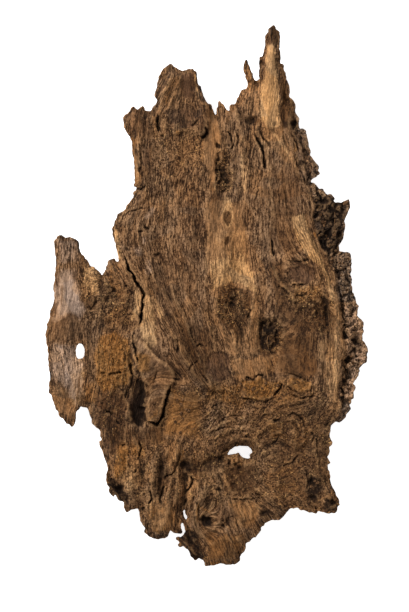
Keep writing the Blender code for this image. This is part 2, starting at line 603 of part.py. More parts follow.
def cork_beyond(x, y):
    """How much of a point belongs to the broken cork at the right, and that cork's relief."""
    near_x, near_y = wandering(x, y, CORK_WANDER)
    share = coverage(near_x, near_y, CORK_SIDE, CORK_STEP_WIDTH)
    bent_x = near_x + BLOCK_SWAY * hills(x, y, BLOCK_SWAY_SIZE, BLOCK_SWAY_SEED)
    bent_y = near_y + BLOCK_SWAY * hills(x, y, BLOCK_SWAY_SIZE, BLOCK_SWAY_SEED + 1)
    depth, level, tilt = plates(bent_x, bent_y, BLOCK_WIDTH, BLOCK_LENGTH, BLOCK_SEED)
    relief = BLOCK_DEPTH * (ease(depth / BLOCK_EDGE) - BLOCK_MIDDLE) + BLOCK_LEVEL * level + BLOCK_TILT * tilt
    layers = hills(bent_x * CORK_LAYER_NARROWING, bent_y * GRAINWARD, BLOCK_WIDTH, CORK_LAYER_SEED)
    layers += CORK_LAYER_FINE * hills(x, y, BLOCK_SWAY, CORK_LAYER_SEED + 1)
    relief += CORK_LAYER_RISE * terraces(layers, CORK_LAYER_COUNT)
    for centre, half, gap in CORK_GAPS:
        relief -= gap * mound(near_x, near_y, centre, half)
    return share, relief - CORK_DROP


def top_height(x, y, edge):
    share, cork = cork_beyond(x, y)
    body = trough(x, y) + FLOOR_GAP + thickness(x, y, edge)
    return body + inner_relief(x, y) * (1.0 - share) + cork * share


def bottom_height(x, y, edge):
    """The outer bark: long plates with furrows between them, and the worn plates at the floor."""
    depth, level, _ = plates(x, y, PLATE_WIDTH, PLATE_LENGTH, PLATE_SEED)
    furrow = 1.0 - FURROW_UNEVEN + FURROW_UNEVEN * hills(x, y, PLATE_WIDTH, FURROW_SEED)
    furrow *= 1.0 - ease(depth / FURROW_WIDTH)
    relief = FURROW_DEPTH * furrow + PLATE_STEP * level
    relief += PLATE_LUMPS * hills(x, y, PLATE_LUMP_SIZE, PLATE_LUMP_SEED)
    relief *= 1.0 - (1.0 - WING_THICKNESS / THICKNESS) * coverage(x, y, WING, WING_SOFTNESS)
    height = trough(x, y) + FLOOR_GAP + relief + RIM_RISE * (1.0 - ease(edge / EDGE_WIDTH))
    for centre, half in FEET:
        cx, cy = plan(centre)[0]
        reach = np.hypot((x - cx) / half[0], (y - cy) / half[1])
        rise = np.clip((reach - 1.0) * half[0] / FOOT_BLEND, 0.0, 1.0)
        height *= rise * (2.0 - rise)
    return np.maximum(height, 0.0)


def flat_blank():
    """The slab's plan as a flat plate with its three holes."""
    curve = bpy.data.curves.new("slab_plan", "CURVE")
    curve.dimensions = "2D"
    curve.fill_mode = "BOTH"
    curve.extrude = BLANK_THICKNESS * MM / 2
    for loop in LOOPS:
        corners = plan(loop) * MM
        spline = curve.splines.new("POLY")
        spline.points.add(len(corners) - 1)
        for point, (x, y) in zip(spline.points, corners):
            point.co = (x, y, 0.0, 1.0)
        spline.use_cyclic_u = True
    guide = bpy.data.objects.new("slab_plan", curve)
    bpy.context.scene.collection.objects.link(guide)
    mesh = bpy.data.meshes.new_from_object(guide.evaluated_get(bpy.context.evaluated_depsgraph_get()))
    bpy.data.objects.remove(guide, do_unlink=True)
    cage = bmesh.new()
    cage.from_mesh(mesh)
    bmesh.ops.remove_doubles(cage, verts=cage.verts, dist=WELD * MM)
    cage.to_mesh(mesh)
    cage.free()
    return mesh


def applied(slab):
    """Bakes the slab's modifiers into its mesh."""
    evaluated = slab.evaluated_get(bpy.context.evaluated_depsgraph_get())
    mesh = bpy.data.meshes.new_from_object(evaluated)
    slab.modifiers.clear()
    old = slab.data
    slab.data = mesh
    bpy.data.meshes.remove(old)


def remeshed(slab):
    grid = slab.modifiers.new("even_grid", "REMESH")
    grid.mode = "VOXEL"
    grid.voxel_size = VOXEL * MM
    applied(slab)


def shaped(slab):
    """Moves the blank's points onto the slab's two faces, and its rim evenly between them."""
    count = len(slab.data.vertices)
    points = np.empty(count * 3)
    slab.data.vertices.foreach_get("co", points)
    points = points.reshape(-1, 3) / MM
    x, y = points[:, 0], points[:, 1]
    edge = np.full(count, np.inf)
    for loop in LOOPS:
        edge = np.minimum(edge, loop_distance(x, y, plan(loop)))
    share = np.clip(points[:, 2] / BLANK_THICKNESS + 0.5, 0.0, 1.0)
    low = bottom_height(x, y, edge)
    high = np.maximum(top_height(x, y, edge), low + THINNEST)
    points[:, 2] = low + (high - low) * share
    slab.data.vertices.foreach_set("co", (points * MM).ravel())
    slab.data.update()


def reduced(slab):
    """Fewer triangles, with more of them where the surface turns."""
    faces = sum(len(face.vertices) - 2 for face in slab.data.polygons)
    fewer = slab.modifiers.new("fewer_triangles", "DECIMATE")
    fewer.decimate_type = "COLLAPSE"
    fewer.ratio = TRIANGLES / faces
    fewer.use_collapse_triangulate = True
    applied(slab)


def seated(slab):
    """Puts the slab's box over the origin, and the points of its worn plates on the floor."""
    corners = np.array([corner[:] for corner in slab.bound_box])
    middle = (corners.min(axis=0) + corners.max(axis=0)) / 2
    for point in slab.data.vertices:
        point.co.x -= middle[0]
        point.co.y -= middle[1]
        if point.co.z < FOOT_SNAP * MM:
            point.co.z = 0.0


def bark_material():
    material = bpy.data.materials.new("old_bark")
    material.use_nodes = True
    shader = material.node_tree.nodes["Principled BSDF"]
    shader.inputs["Base Color"].default_value = BARK_COLOUR
    shader.inputs["Roughness"].default_value = BARK_ROUGHNESS
    shader.inputs["Metallic"].default_value = 0.0
    return material


def bark_piece(collection):
    slab = bpy.data.objects.new("bark_piece", flat_blank())
    collection.objects.link(slab)
    remeshed(slab)
    shaped(slab)
    reduced(slab)
    seated(slab)
    slab.data.materials.append(bark_material())
    slab.data.shade_smooth()
    return slab


def main():
    clear_scene()
    collection = bpy.data.collections.new("tree_bark_piece")
    bpy.context.scene.collection.children.link(collection)
    bark_piece(collection)


main()
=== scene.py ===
"""An old slab of tree bark, its fibrous inner face up, on a pale floor under soft studio light.

The slab's plan is a traced outline, and its two faces are height fields over that plan. This script
makes them finer than the solid that it stands for, grows torn fibres and cork crumbs on them, and
gives every surface a finish made of shader nodes.
"""

import bpy
import bmesh
import numpy as np
from bpy.props import FloatProperty, FloatVectorProperty, IntProperty, PointerProperty
from mathutils import Euler, Matrix, Vector


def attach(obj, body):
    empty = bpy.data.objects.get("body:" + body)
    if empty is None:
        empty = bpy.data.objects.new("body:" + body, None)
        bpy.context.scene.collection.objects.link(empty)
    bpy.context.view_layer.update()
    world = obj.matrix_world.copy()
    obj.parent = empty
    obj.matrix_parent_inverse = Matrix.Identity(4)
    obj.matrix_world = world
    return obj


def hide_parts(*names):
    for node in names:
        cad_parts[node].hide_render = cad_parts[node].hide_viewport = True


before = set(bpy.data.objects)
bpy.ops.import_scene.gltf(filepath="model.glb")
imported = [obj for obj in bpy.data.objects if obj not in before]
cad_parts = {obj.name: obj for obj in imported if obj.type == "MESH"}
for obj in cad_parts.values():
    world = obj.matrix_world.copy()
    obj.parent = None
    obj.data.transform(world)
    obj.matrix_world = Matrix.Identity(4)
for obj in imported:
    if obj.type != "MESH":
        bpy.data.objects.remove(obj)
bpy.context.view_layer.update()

bl_info = {
    "name": "Old Bark Slab",
    "version": (1, 0, 0),
    "blender": (4, 5, 0),
    "location": "View3D > Sidebar > Bark",
    "description": "Builds a weathered slab of tree bark with its finish, floor, light and camera",
    "category": "Object",
}

MM = 0.001
CAD_NODE = "bark_piece"
CAD_BODY = "root"

# Cells along each side of the repeating tables of noise, and of the tables of plates
HILL_TABLE = 256
PLATE_TABLE = 64

# Where each look starts and how far it blends, as a share of the way up from the outer bark
BELOW = 0.05
FACE_START = 0.72
FACE_BLEND = 0.2
TINT_START = 0.3
TINT_BLEND = 0.4
CORK_START = 0.02
CORK_BLEND = 0.3
# How far to each side the grain's direction is felt for, in millimetres
GRAIN_PROBE = 0.4
# The least share of a soft disc that has to lie on the slab
LEAST_COVER = 0.05

# The form's lesser sizes, in millimetres
FLOOR_GAP = 2.2
THINNEST = 3.2
EDGE_WIDTH = 7.0
EDGE_THINNING = 0.45
WING_SOFTNESS = 14.0
CRUMBLED_SOFTNESS = 14.0
CRUMBLED_SHARE = 0.42
UNDULATION = 2.4
UNDULATION_SIZE = 52.0
LUMPS = 0.9
LUMP_SIZE = 13.0
WANDER = 1.5
WANDER_SIZE = 12.0
FINE_WANDER = 0.45
FINE_WANDER_SIZE = 0.4
TAPER = 0.2
END_WIDTH = 0.3
RIM_RISE = 1.5
CRACK_SQUARENESS = 4
# Crack depth at which the painted shade in a crack is full
BLACK_DEPTH = 4.0
GRAIN_WANDER = 0.4
# Fine wavering of cracks and coloured lines: size and reach in millimetres, and a seed
UNEVEN = (4.0, 0.35, 0.8, 127)
JAGS = ((5.0, 0.5, 121), (2.2, 0.4, 123), (1.0, 0.2, 125))
RAGGED = 0.3
RAGGED_SIZE = 2.4

# Bundles of fibre, torn layers and the broken cork of the lower third, in millimetres
FIBRE_WIDTH = 6.5
FIBRE_LENGTH = 70.0
FIBRE_RISE = 0.55
TERRACE_WIDTH = 15.0
TERRACE_LENGTH = 95.0
TERRACE_RISE = 0.65
TERRACE_COUNT = 2.6
TERRACE_STEP = 0.3
CRUMB_SIZE = 13.0
CRUMB_RISE = 0.8
CRUMB_GAP = 0.2
SWIRL_SIZE = 17.0
SWIRL_RISE = 1.9
SWIRL_COUNT = 3.0

# Finer fibres, in millimetres: width, length, rise and the seed of each kind
FINE_FIBRES = ((2.4, 26.0, 0.26, 71), (1.3, 12.0, 0.26, 72))
FINE_LAYER_WIDTH = 6.0
FINE_LAYER_LENGTH = 48.0
FINE_LAYER_RISE = 0.45
FINE_LAYER_COUNT = 2.2
# Gaps between fibres: spacing and length in millimetres, how thin they are, and their seed
SPLIT_KINDS = ((9.0, 40.0, 0.6, 101), (5.0, 18.0, 0.5, 104))
SPLIT_RARITY = 0.35
SPLIT_SHARPNESS = 4.0
SPLIT_DEPTH = 1.1
SPLIT_SHADE = 0.6
FLAKE_WIDTH = 4.6
FLAKE_LENGTH = 15.0
FLAKE_RISE = 0.24
FLAKE_GAP = 0.16
FLAKE_TILT = 1.2
FINE_CRUMB_SIZE = 4.6
FINE_CRUMB_RISE = 0.5
FINE_CRUMB_GAP = 0.22

# Cork plates of the outer bark, in millimetres
PLATE_WIDTH = 15.0
PLATE_LENGTH = 44.0
PLATE_WANDER = 0.42
FURROW_DEPTH = 4.6
FURROW_WIDTH = 0.3
PLATE_STEP = 1.4
PLATE_LUMPS = 1.3
FINE_PLATE_WIDTH = 5.0
FINE_PLATE_LENGTH = 12.0
FINE_PLATE_RISE = 0.5
FINE_FURROW_WIDTH = 0.3

# The broken cork that shows beyond the inner face's right edge, in millimetres
CORK_DROP = 3.4
CORK_STEP_WIDTH = 5.0
BLOCK_WIDTH = 9.0
BLOCK_LENGTH = 13.0
BLOCK_DEPTH = 1.7
BLOCK_SWAY = 4.0
BLOCK_GAP = 0.3
BLOCK_LEVEL = 1.3
BLOCK_TILT = 2.4
CORK_LAYER_RISE = 1.6
CORK_LAYER_COUNT = 2.5
FINE_BLOCK_SIZE = 3.6
FINE_BLOCK_RISE = 0.8

# Nicks of the outline and chips of the rim: size and reach in millimetres, and a seed
NICK_STEP = 0.8
NICKS = ((2.6, 0.32), (1.3, 0.22))
RIM_CHIPS = ((4.0, 0.55, 95), (1.8, 0.35, 96))
RIM_LAYERS = 3.5
WALL_TURN = 0.5

# How far the borders of the colour areas stray: size and reach in millimetres, and a seed
AREA_WANDER = ((9.0, 2.2, 111), (3.0, 1.3, 113))
AREA_SOFTNESS = 2.0
FULLY_STRAYED = 8.0
LEAST_STRAYED = 0.5

# Mesh and sampling, in millimetres and points
BLANK_THICKNESS = 9.0
WELD = 0.00001
CHUNK = 20000
GRAIN_SLACK = 30.0
TINY = 1e-9
UNDERSIDE_SHARE = 0.2
HOLLOW_STEP = 0.9
HOLLOW_REACH = (126.0, 208.0)
HOLLOW_RADII = (1.4, 7.0)

# Torn fibres that stand off the inner face, in millimetres
FIBRE_STEPS = 9
FIBRE_MARGIN = 1.0
CRUMB_MARGIN = 1.5
FIBRE_SINK = 0.5
FIBRE_LIFT = 1.6
# Their lengths and radii as shares of the largest, and how much of the radius is lost at the end
FIBRE_LENGTHS = (0.3, 1.0)
FIBRE_RADII = (0.45, 1.0)
FIBRE_THINNING = 0.75
# Loose cork crumbs: sizes as shares of the largest, how far they are raised, tilted and dented, and shape
CRUMB_SIZES = (0.35, 1.0)
CRUMB_SINK = 0.1
CRUMB_TILT = 0.6
CRUMB_DENTS = (0.72, 1.15)
CRUMB_SHAPE = (1.0, 0.8, 0.55)

# The picture's frame, in pixels, x to the right and y down
PICTURE_WIDTH = 409
PICTURE_HEIGHT = 612
PICTURE_TOP = 25.0
PICTURE_BOTTOM = 566.0
PICTURE_MIDDLE_X = 206.75
PICTURE_MIDDLE_Y = (PICTURE_TOP + PICTURE_BOTTOM) / 2

# The slab's outline and holes, in pixels of the picture, clockwise as seen
TOP_LEFT_STUB = [
    (123, 118), (125.5, 114.5), (128, 114.5), (128.5, 112), (130, 111.5), (130.5, 109), (133.5, 105.5),
    (135, 108), (138, 110), (142.5, 106), (144, 108), (144, 111), (150, 111.5), (152, 108.5),
    (156.5, 105), (157.5, 98.5), (155, 95.5), (156.5, 92), (158, 81), (159, 77.5), (161, 75),
    (162, 71), (163.5, 68), (168.5, 64.5), (171, 64), (173, 66.5), (176.5, 66.5), (178.5, 69),
    (182, 71), (186.5, 70), (188, 68.5), (191.5, 69), (193, 67.5), (194, 70.5), (196.5, 71.5),
    (197.5, 86), (200, 86.5), (203, 96), (205.5, 100.5), (207.5, 103), (210.5, 104), (216, 116.5),
    (217, 117),
]
SPLINTER_AND_SPIRE = [
    (217, 114), (217, 108), (219.5, 101), (221, 104), (223.5, 104), (226, 110), (230, 111), (230, 105),
    (231, 104), (235, 103.5), (237, 98.5), (240, 95.5), (242, 90), (247, 88.5), (248.5, 83.5),
    (244, 70.5), (244.5, 62.5), (246, 60), (247, 61), (254.5, 80), (257, 81), (260, 79), (260, 57),
    (262.5, 57.5), (263, 53.5), (265.5, 46), (265, 37.5), (268.5, 32), (268.5, 29), (273.5, 25),
    (275, 26.5), (276, 29.5), (279, 31.5), (280.5, 35.5), (278.5, 49), (279.5, 52), (280, 64.5),
    (282, 64), (284, 66), (284, 71), (285, 76), (289.5, 91), (288.5, 97), (290.5, 100), (293, 101),
    (294.5, 104), (295, 113), (298.5, 119), (298, 127),
]
RIGHT_EDGE = [
    (299.5, 130), (303, 129.5), (305.5, 131.5), (307.5, 144), (310.5, 154), (309.5, 156),
    (318.5, 167.5), (317, 171), (319.5, 173), (309.5, 182), (314, 183.5), (319, 189), (323, 189),
    (326, 195.5), (330, 195), (334, 199), (332.5, 201.5), (335, 203.5), (340, 203.5), (348.5, 199.5),
    (349.5, 203), (348.5, 209), (344, 219), (344, 229), (343, 233), (343, 238), (338.5, 244),
    (338, 252), (348.5, 253), (350, 256), (350.5, 262), (350, 267), (350.5, 271.5), (349.5, 274),
    (351, 279), (350.5, 284), (351.5, 288), (351, 292), (352.5, 293.5), (355.5, 303), (358, 306.5),
    (355.5, 315), (362, 321.5), (362.5, 325), (361.5, 328), (362.5, 332), (360.5, 335), (361, 338),
    (360.5, 341), (363, 342.5), (366.5, 348.5), (366.5, 351), (365, 353), (365, 356), (366, 358.5),
    (365.5, 361), (357.5, 368), (358, 371), (357.5, 374.5), (351.5, 383.5), (353.5, 385), (355, 388),
    (353, 391), (352.5, 397), (350.5, 398), (350.5, 402.5), (348, 404.5), (350, 407.5), (346.5, 413.5),
    (338.5, 422.5), (336, 421), (330, 424.5), (329, 437), (331.5, 442.5), (330, 445.5), (328, 444.5),
    (329, 451), (328, 454.5), (326.5, 456.5), (330, 462), (327.5, 464.5), (327.5, 468.5), (329, 471),
    (329, 479.5), (336.5, 496.5), (338.5, 498.5), (339, 500.5), (337.5, 502), (339, 504),
    (336.5, 504.5), (337, 507), (336, 510), (333, 512), (328.5, 512),
]
FOOT = [
    (325, 511.5), (324, 510.5), (317, 510.5), (316, 512), (310, 512), (303, 509), (300, 509.5),
    (298.5, 507), (296, 506.5), (293.5, 508), (290.5, 507), (281, 518.5), (279, 520), (273, 519),
    (267, 521.5), (265, 523), (264, 525.5), (261, 526.5), (260, 528), (261, 529.5), (256.5, 534.5),
    (255.5, 537), (253, 537), (249, 542), (245.5, 541.5), (245, 548.5), (240, 556.5), (240, 560),
    (235.5, 564), (226.5, 565), (221, 562.5), (215.5, 564), (213.5, 565.5), (210.5, 565), (205.5, 566),
    (204, 559.5), (199, 558), (195, 560), (191, 556), (188, 549), (183, 545.5), (180, 547.5),
    (178, 545), (180, 543), (179, 540.5), (176, 539), (177, 537.5), (181, 538), (185, 533),
    (187, 531.5), (182.5, 522), (180.5, 524), (182, 532.5), (181, 533.5), (173.5, 532.5),
    (171.5, 530.5), (169, 530.5), (168, 535.5), (165, 537.5), (158, 539.5), (153, 538), (151.5, 536.5),
    (148.5, 536), (144.5, 532.5), (146.5, 528), (141, 521), (140, 518), (139, 508.5), (137.5, 508),
    (131, 509.5), (127, 512.5), (125.5, 511), (124, 504), (124, 501.5), (119, 499.5), (116.5, 496),
    (115.5, 493.5), (114, 494), (114, 496.5), (112.5, 496), (109, 491), (109.5, 486.5), (107, 483.5),
    (106.5, 480), (108.5, 468), (99.5, 441.5), (102, 440.5), (100, 430), (93, 423.5), (90.5, 414),
    (87.5, 407), (83.5, 407), (80, 405),
]
LEFT_WING = [
    (79, 409), (76, 411.5), (75.5, 421), (74.5, 424.5), (72.5, 427), (69, 423.5), (67.5, 423.5),
    (64, 417.5), (61, 416.5), (58, 410), (56.5, 409), (52.5, 395), (49.5, 392.5), (50.5, 382),
    (51.5, 379), (47, 335), (47.5, 330), (48.5, 328), (48.5, 323), (50, 321.5), (51.5, 310),
    (53.5, 306), (54.5, 302), (55.5, 292), (54, 290.5), (54.5, 285), (55.5, 282), (56.5, 262),
    (55.5, 241), (57, 239.5), (57.5, 236.5), (59.5, 236), (62.5, 236.5), (64.5, 238.5), (69, 237.5),
    (76.5, 240), (78.5, 242.5), (79.5, 251), (84.5, 258.5), (87.5, 260.5), (90.5, 267.5), (93.5, 267),
    (99, 272.5), (101, 276), (102.5, 276.5), (108, 264.5), (108, 261.5), (110.5, 259.5), (113, 259.5),
    (114.5, 258.5), (115.5, 261.5), (117, 262.5), (119, 261.5), (118, 252.5), (113.5, 238), (112, 228),
]
LEFT_SHOULDER = [
    (113.5, 226), (118, 214), (123, 211.5), (129, 203.5), (133.5, 197), (134, 193), (137, 187.5),
    (136, 185.5), (134.5, 187), (135, 178), (134, 158), (132.5, 154), (132, 143), (130, 136),
    (128, 135), (124.5, 126), (123.5, 121),
]
OUTLINE = TOP_LEFT_STUB + SPLINTER_AND_SPIRE + RIGHT_EDGE + FOOT + LEFT_WING + LEFT_SHOULDER
WING_HOLE = [
    (78, 343), (82.5, 343), (84.5, 346.5), (85.5, 350), (85, 354), (83.5, 358.5), (78, 359.5), (76, 357),
    (75, 350.5), (76, 346),
]
CRESCENT_HOLE = [
    (226, 456), (229.5, 450.5), (234.5, 447), (240, 445.5), (244, 446), (249, 445.5), (253, 451.5),
    (252, 454), (249.5, 455), (251, 457), (250.5, 459.5), (246.5, 459), (242.5, 457.5), (238.5, 453.5),
    (232.5, 455),
]
SLOT_HOLE = [
    (181.5, 510.5), (184, 510), (185.5, 508), (186, 513), (188, 516.5), (187, 519.5), (185.5, 521),
    (183, 516),
]
LOOPS = (OUTLINE, WING_HOLE, CRESCENT_HOLE, SLOT_HOLE)

# The inner face's broken right edge, with cork beyond it, closed far outside the outline
CORK_SIDE = [
    (300, 20), (300, 100), (292, 124), (296, 132), (303, 146), (306, 165), (307, 181),
    (311, 190), (316, 205), (313, 216), (314, 228), (319, 240), (326, 250), (331, 262), (334, 275),
    (338, 290), (339, 305), (341, 320), (343, 335), (346, 350), (343, 362), (341, 378), (340, 395),
    (342, 407), (338, 424), (420, 430), (420, 20),
]
# Black gaps between the blocks of that cork: middle and half sizes in pixels, then depth in millimetres
CORK_GAPS = [
    (325, 240, 7, 10, 4.0),
    (323, 202, 6, 2.5, 3.0),
    (331, 218, 2.5, 8, 2.5),
    (336, 234, 2, 3, 2.5),
    (354, 340, 4, 5, 3.5),
    (347, 360, 3.5, 2.5, 3.0),
    (342, 381, 2.5, 3, 2.5),
    (345, 400, 5, 2.5, 3.0),
    (307, 155, 2.5, 4, 3.0),
    (346, 286, 2.5, 3, 2.5),
    (355, 309, 2.5, 4, 3.0),
    (333, 262, 2, 5, 2.5),
    (337, 277, 1.5, 3, 2.0),
    (300, 141, 2, 5, 2.5),
    (306, 169, 3, 2, 2.5),
    (314, 172, 3, 1.5, 2.5),
    (302, 133, 3, 1.6, 2.0),
    (284, 124, 3, 4, 2.5),
    (291, 124, 4, 2, 2.0),
]
# The thin left wing
WING = [(30, 220), (84, 220), (92, 262), (98, 300), (96, 340), (92, 380), (88, 420), (70, 450), (30, 450)]
# The rows below end in points of the picture, as x, y, x, y and so on. An area of two points is a box.
# Where one layer lies over the next: lift and width of the step in millimetres, then points
LAYERS = [
    (2.0, 2.4, 158, 60, 197, 60, 204, 98, 209, 112, 209, 128, 204, 137, 194, 136, 184, 132, 174, 134, 165,
     128, 160, 116, 158, 100),
    (-1.4, 3.0, 206, 98, 214, 110, 220, 126, 222, 146, 217, 158, 216, 176, 213, 192, 208, 190, 206, 172,
     201, 156, 200, 142, 207, 132),
    (-1.2, 3.5, 113, 226, 128, 213, 146, 201, 162, 190, 172, 181, 190, 178, 204, 195, 206, 240, 204, 300,
     170, 300, 148, 262, 128, 246),
    (3.2, 1.8, 132, 335, 148, 346, 176, 372, 174, 384, 166, 402, 159, 421, 146, 421, 145, 404, 142, 380,
     134, 360),
    (-2.8, 2.4, 131, 374, 139, 381, 147, 385, 148, 404, 147, 420, 141, 428, 134, 424, 130, 410, 127, 394),
    (-1.4, 2.4, 207, 354, 217, 350, 228, 353, 231, 364, 230, 376, 222, 382, 213, 380, 207, 370),
    (1.8, 1.4, 242, 383, 252, 380, 259, 376, 267, 381, 281, 384, 275, 396, 264, 401, 244, 399),
    (1.4, 1.4, 290, 379, 300, 378, 311, 382, 309, 390, 298, 391, 290, 386),
    (0.9, 1.6, 232, 360, 241, 358, 252, 360, 262, 356, 271, 356, 269, 367, 266, 375, 254, 377, 244, 381,
     235, 380),
    (1.4, 1.2, 266, 418, 284, 420, 283, 434, 271, 437),
    (-0.8, 2.0, 182, 77, 188, 74, 193, 75, 195, 86, 194, 97, 188, 99, 182, 96, 180, 86),
    (-1.4, 6.0, 60, 392, 100, 402, 150, 428, 200, 402, 300, 404, 350, 416, 360, 600, 60, 600),
]
# Smooth places, whose finest relief is rubbed away: how smooth, softness in millimetres, then points
CALM = [
    (0.6, 6.0, 207, 196, 226, 194, 247, 210, 250, 252, 230, 256, 210, 262, 206, 240),
    (0.8, 3.0, 266, 45, 273, 42, 276, 90, 278, 122, 262, 126, 262, 84),
    (0.8, 3.0, 208, 102, 219, 125, 220, 160, 213, 192, 206, 160),
    (0.4, 3.0, 234, 360, 270, 356, 266, 375, 236, 380),
    (0.25, 3.0, 208, 354, 228, 353, 230, 376, 211, 380),
    (0.35, 4.0, 291, 264, 302, 261, 314, 266, 314, 276, 304, 283, 293, 278),
    (0.7, 3.0, 180, 76, 194, 75, 196, 98, 182, 98),
    (0.7, 6.0, 166, 390, 202, 396, 200, 440, 164, 436),
    (0.5, 5.0, 240, 505, 262, 512, 250, 530, 236, 526),
    (0.6, 4.0, 318, 336, 327, 338, 327, 362, 318, 362),
    (0.4, 6.0, 205, 470, 255, 466, 260, 496, 225, 498),
    (0.75, 6.0, 54, 270, 76, 274, 84, 310, 80, 340, 50, 340),
    (0.2, 6.0, 50, 356, 82, 362, 84, 400, 60, 400),
    (0.35, 5.0, 212, 262, 250, 258, 256, 292, 214, 292),
    (0.35, 12.0, 146, 262, 196, 240, 204, 300, 200, 340, 160, 312),
    (0.5, 5.0, 206, 532, 244, 534, 238, 562, 208, 562),
    (0.5, 5.0, 142, 300, 156, 312, 168, 352, 150, 372, 138, 344),
    (0.7, 5.0, 140, 352, 160, 356, 178, 368, 172, 388, 162, 420, 147, 418, 146, 388),
    (0.4, 8.0, 284, 340, 312, 340, 314, 372, 286, 374),
    (0.4, 5.0, 156, 500, 176, 504, 172, 526, 154, 530),
    (0.3, 10.0, 176, 196, 204, 196, 206, 240, 180, 240),
    (0.35, 8.0, 262, 150, 298, 160, 302, 216, 290, 256, 264, 256),
]
# Rough places, broken to crumbs: how rough, softness in millimetres, then points
ROUGH = [
    (0.8, 5.0, 218, 290, 228, 284, 240, 286, 248, 304, 244, 326, 228, 328, 218, 312),
    (0.6, 8.0, 284, 290, 318, 284, 334, 300, 334, 334, 300, 320),
    (0.9, 3.0, 219, 151, 226, 148, 231, 154, 229, 164, 233, 176, 231, 188, 223, 193, 217, 188, 218, 176,
     216, 164),
    (0.35, 10.0, 98, 338, 131, 340, 132, 398, 98, 398),
    (0.4, 8.0, 152, 126, 205, 126, 198, 166, 154, 168),
    (0.5, 6.0, 82, 256, 104, 274, 134, 290, 134, 326, 82, 318),
    (0.4, 8.0, 94, 398, 130, 400, 128, 432, 100, 430),
    (0.9, 4.0, 258, 322, 270, 318, 282, 326, 283, 344, 274, 354, 262, 350),
    (0.35, 8.0, 108, 440, 196, 442, 200, 500, 176, 500, 150, 534, 114, 490),
    (0.8, 3.0, 176, 532, 194, 530, 206, 558, 190, 562),
    (0.8, 3.0, 322, 496, 340, 496, 340, 514, 320, 514),
    (0.8, 4.0, 106, 474, 118, 480, 130, 502, 122, 510, 104, 492),
]
# Where the inner face has crumbled to cork
CRUMBLED = [
    (150, 396), (190, 388), (240, 384), (300, 380), (345, 400), (345, 520), (290, 520), (264, 500),
    (205, 500), (198, 470), (190, 440), (150, 424),
]
# Raised lines: half width and height in millimetres, then points
RIDGES = [
    (5.0, 4.2, 297, 228, 305, 240, 312, 252, 320, 265, 327, 275, 331, 290, 334, 305, 337, 325, 337, 345,
     335, 370, 334, 408),
    (2.6, 2.2, 272, 262, 276, 275, 281, 284, 288, 294, 295, 300, 304, 304),
    (6.0, 3.0, 273, 34, 270, 60, 269, 90, 269, 124, 276, 142),
    (3.2, 2.4, 157, 122, 162, 100, 170, 84, 180, 68),
    (2.6, 1.6, 190, 72, 196, 92, 208, 112),
    (3.0, 1.8, 137, 112, 140, 132, 137, 160, 136, 186),
    (3.4, 2.2, 236, 106, 240, 125, 246, 145, 243, 168),
    (3.4, 1.8, 255, 110, 262, 140, 268, 165, 272, 200, 272, 238),
    (2.2, 2.2, 114, 226, 117, 243, 122, 262),
    (3.0, 2.4, 150, 290, 165, 322, 184, 354, 203, 384, 222, 389, 243, 394),
    (2.6, 1.6, 165, 270, 182, 312, 199, 350, 207, 374),
    (1.8, 1.4, 207, 318, 213, 334, 214, 350),
    (3.0, 1.2, 207, 120, 209, 180, 207, 240, 212, 300),
    (3.4, 1.8, 252, 262, 256, 290, 250, 322, 246, 350),
    (4.2, 3.2, 116, 446, 120, 466, 131, 498),
    (3.6, 2.0, 131, 432, 148, 462, 152, 486),
    (3.6, 3.0, 150, 438, 155, 458, 152, 480, 148, 500, 150, 522),
    (3.0, 2.6, 170, 484, 170, 500, 165, 516, 158, 532),
    (3.2, 3.0, 180, 442, 173, 466, 178, 490, 173, 508),
    (2.6, 2.2, 196, 478, 199, 498, 192, 510),
    (2.2, -2.4, 163, 454, 161, 470, 159, 486, 163, 502),
    (2.0, -2.2, 186, 470, 185, 490, 183, 506),
    (2.0, -1.4, 143, 450, 141, 470, 143, 492),
    (3.0, -1.7, 181, 465, 192, 470, 203, 466, 214, 460, 229, 456),
    (2.0, 1.8, 168, 446, 164, 458, 158, 468),
    (1.8, 1.6, 176, 448, 170, 462, 163, 472, 158, 482),
    (1.6, 1.4, 126, 452, 128, 470, 134, 486),
    (1.8, -1.2, 156, 508, 158, 522, 154, 532),
    (2.2, 1.6, 206, 478, 204, 492, 198, 504),
    (2.0, 1.4, 214, 500, 212, 508, 215, 514),
    (2.8, 2.4, 222, 459, 236, 457.5, 245, 463, 258, 460),
    (2.0, 2.0, 215, 470, 221, 466, 225, 474, 229, 488, 238, 496, 260, 499),
    (1.4, -1.8, 228, 492, 244, 496.5, 264, 495),
    (3.0, 1.6, 262, 500, 278, 498, 294, 490),
    (1.8, 2.0, 222, 446, 236, 438, 252, 439, 263, 448, 266, 464),
    (2.0, 1.9, 212, 442, 226, 431, 246, 427, 266, 434),
    (1.8, 1.7, 206, 432, 222, 422, 244, 419, 262, 424),
    (2.4, 1.4, 268, 470, 280, 478, 276, 488),
    (1.1, 1.2, 236, 500, 242, 512, 246, 524),
    (1.1, 1.2, 244, 499, 250, 511, 253, 521),
    (1.1, 1.2, 252, 499, 258, 509, 261, 516),
    (2.0, -1.5, 218, 532, 224, 524, 232, 517, 240, 513),
    (1.5, 1.5, 181, 539, 189, 546, 197, 556),
    (1.4, -1.4, 188, 536, 195, 544, 200, 552),
    (3.0, 1.4, 206, 545, 224, 538, 246, 538),
    (1.5, 1.3, 284, 428, 288, 420, 296, 420, 303, 428, 303, 440, 296, 448, 287, 446),
    (4.0, 2.0, 300, 410, 312, 440, 322, 480, 330, 505),
    (4.0, 1.2, 62, 262, 66, 310, 60, 372, 66, 410),
]
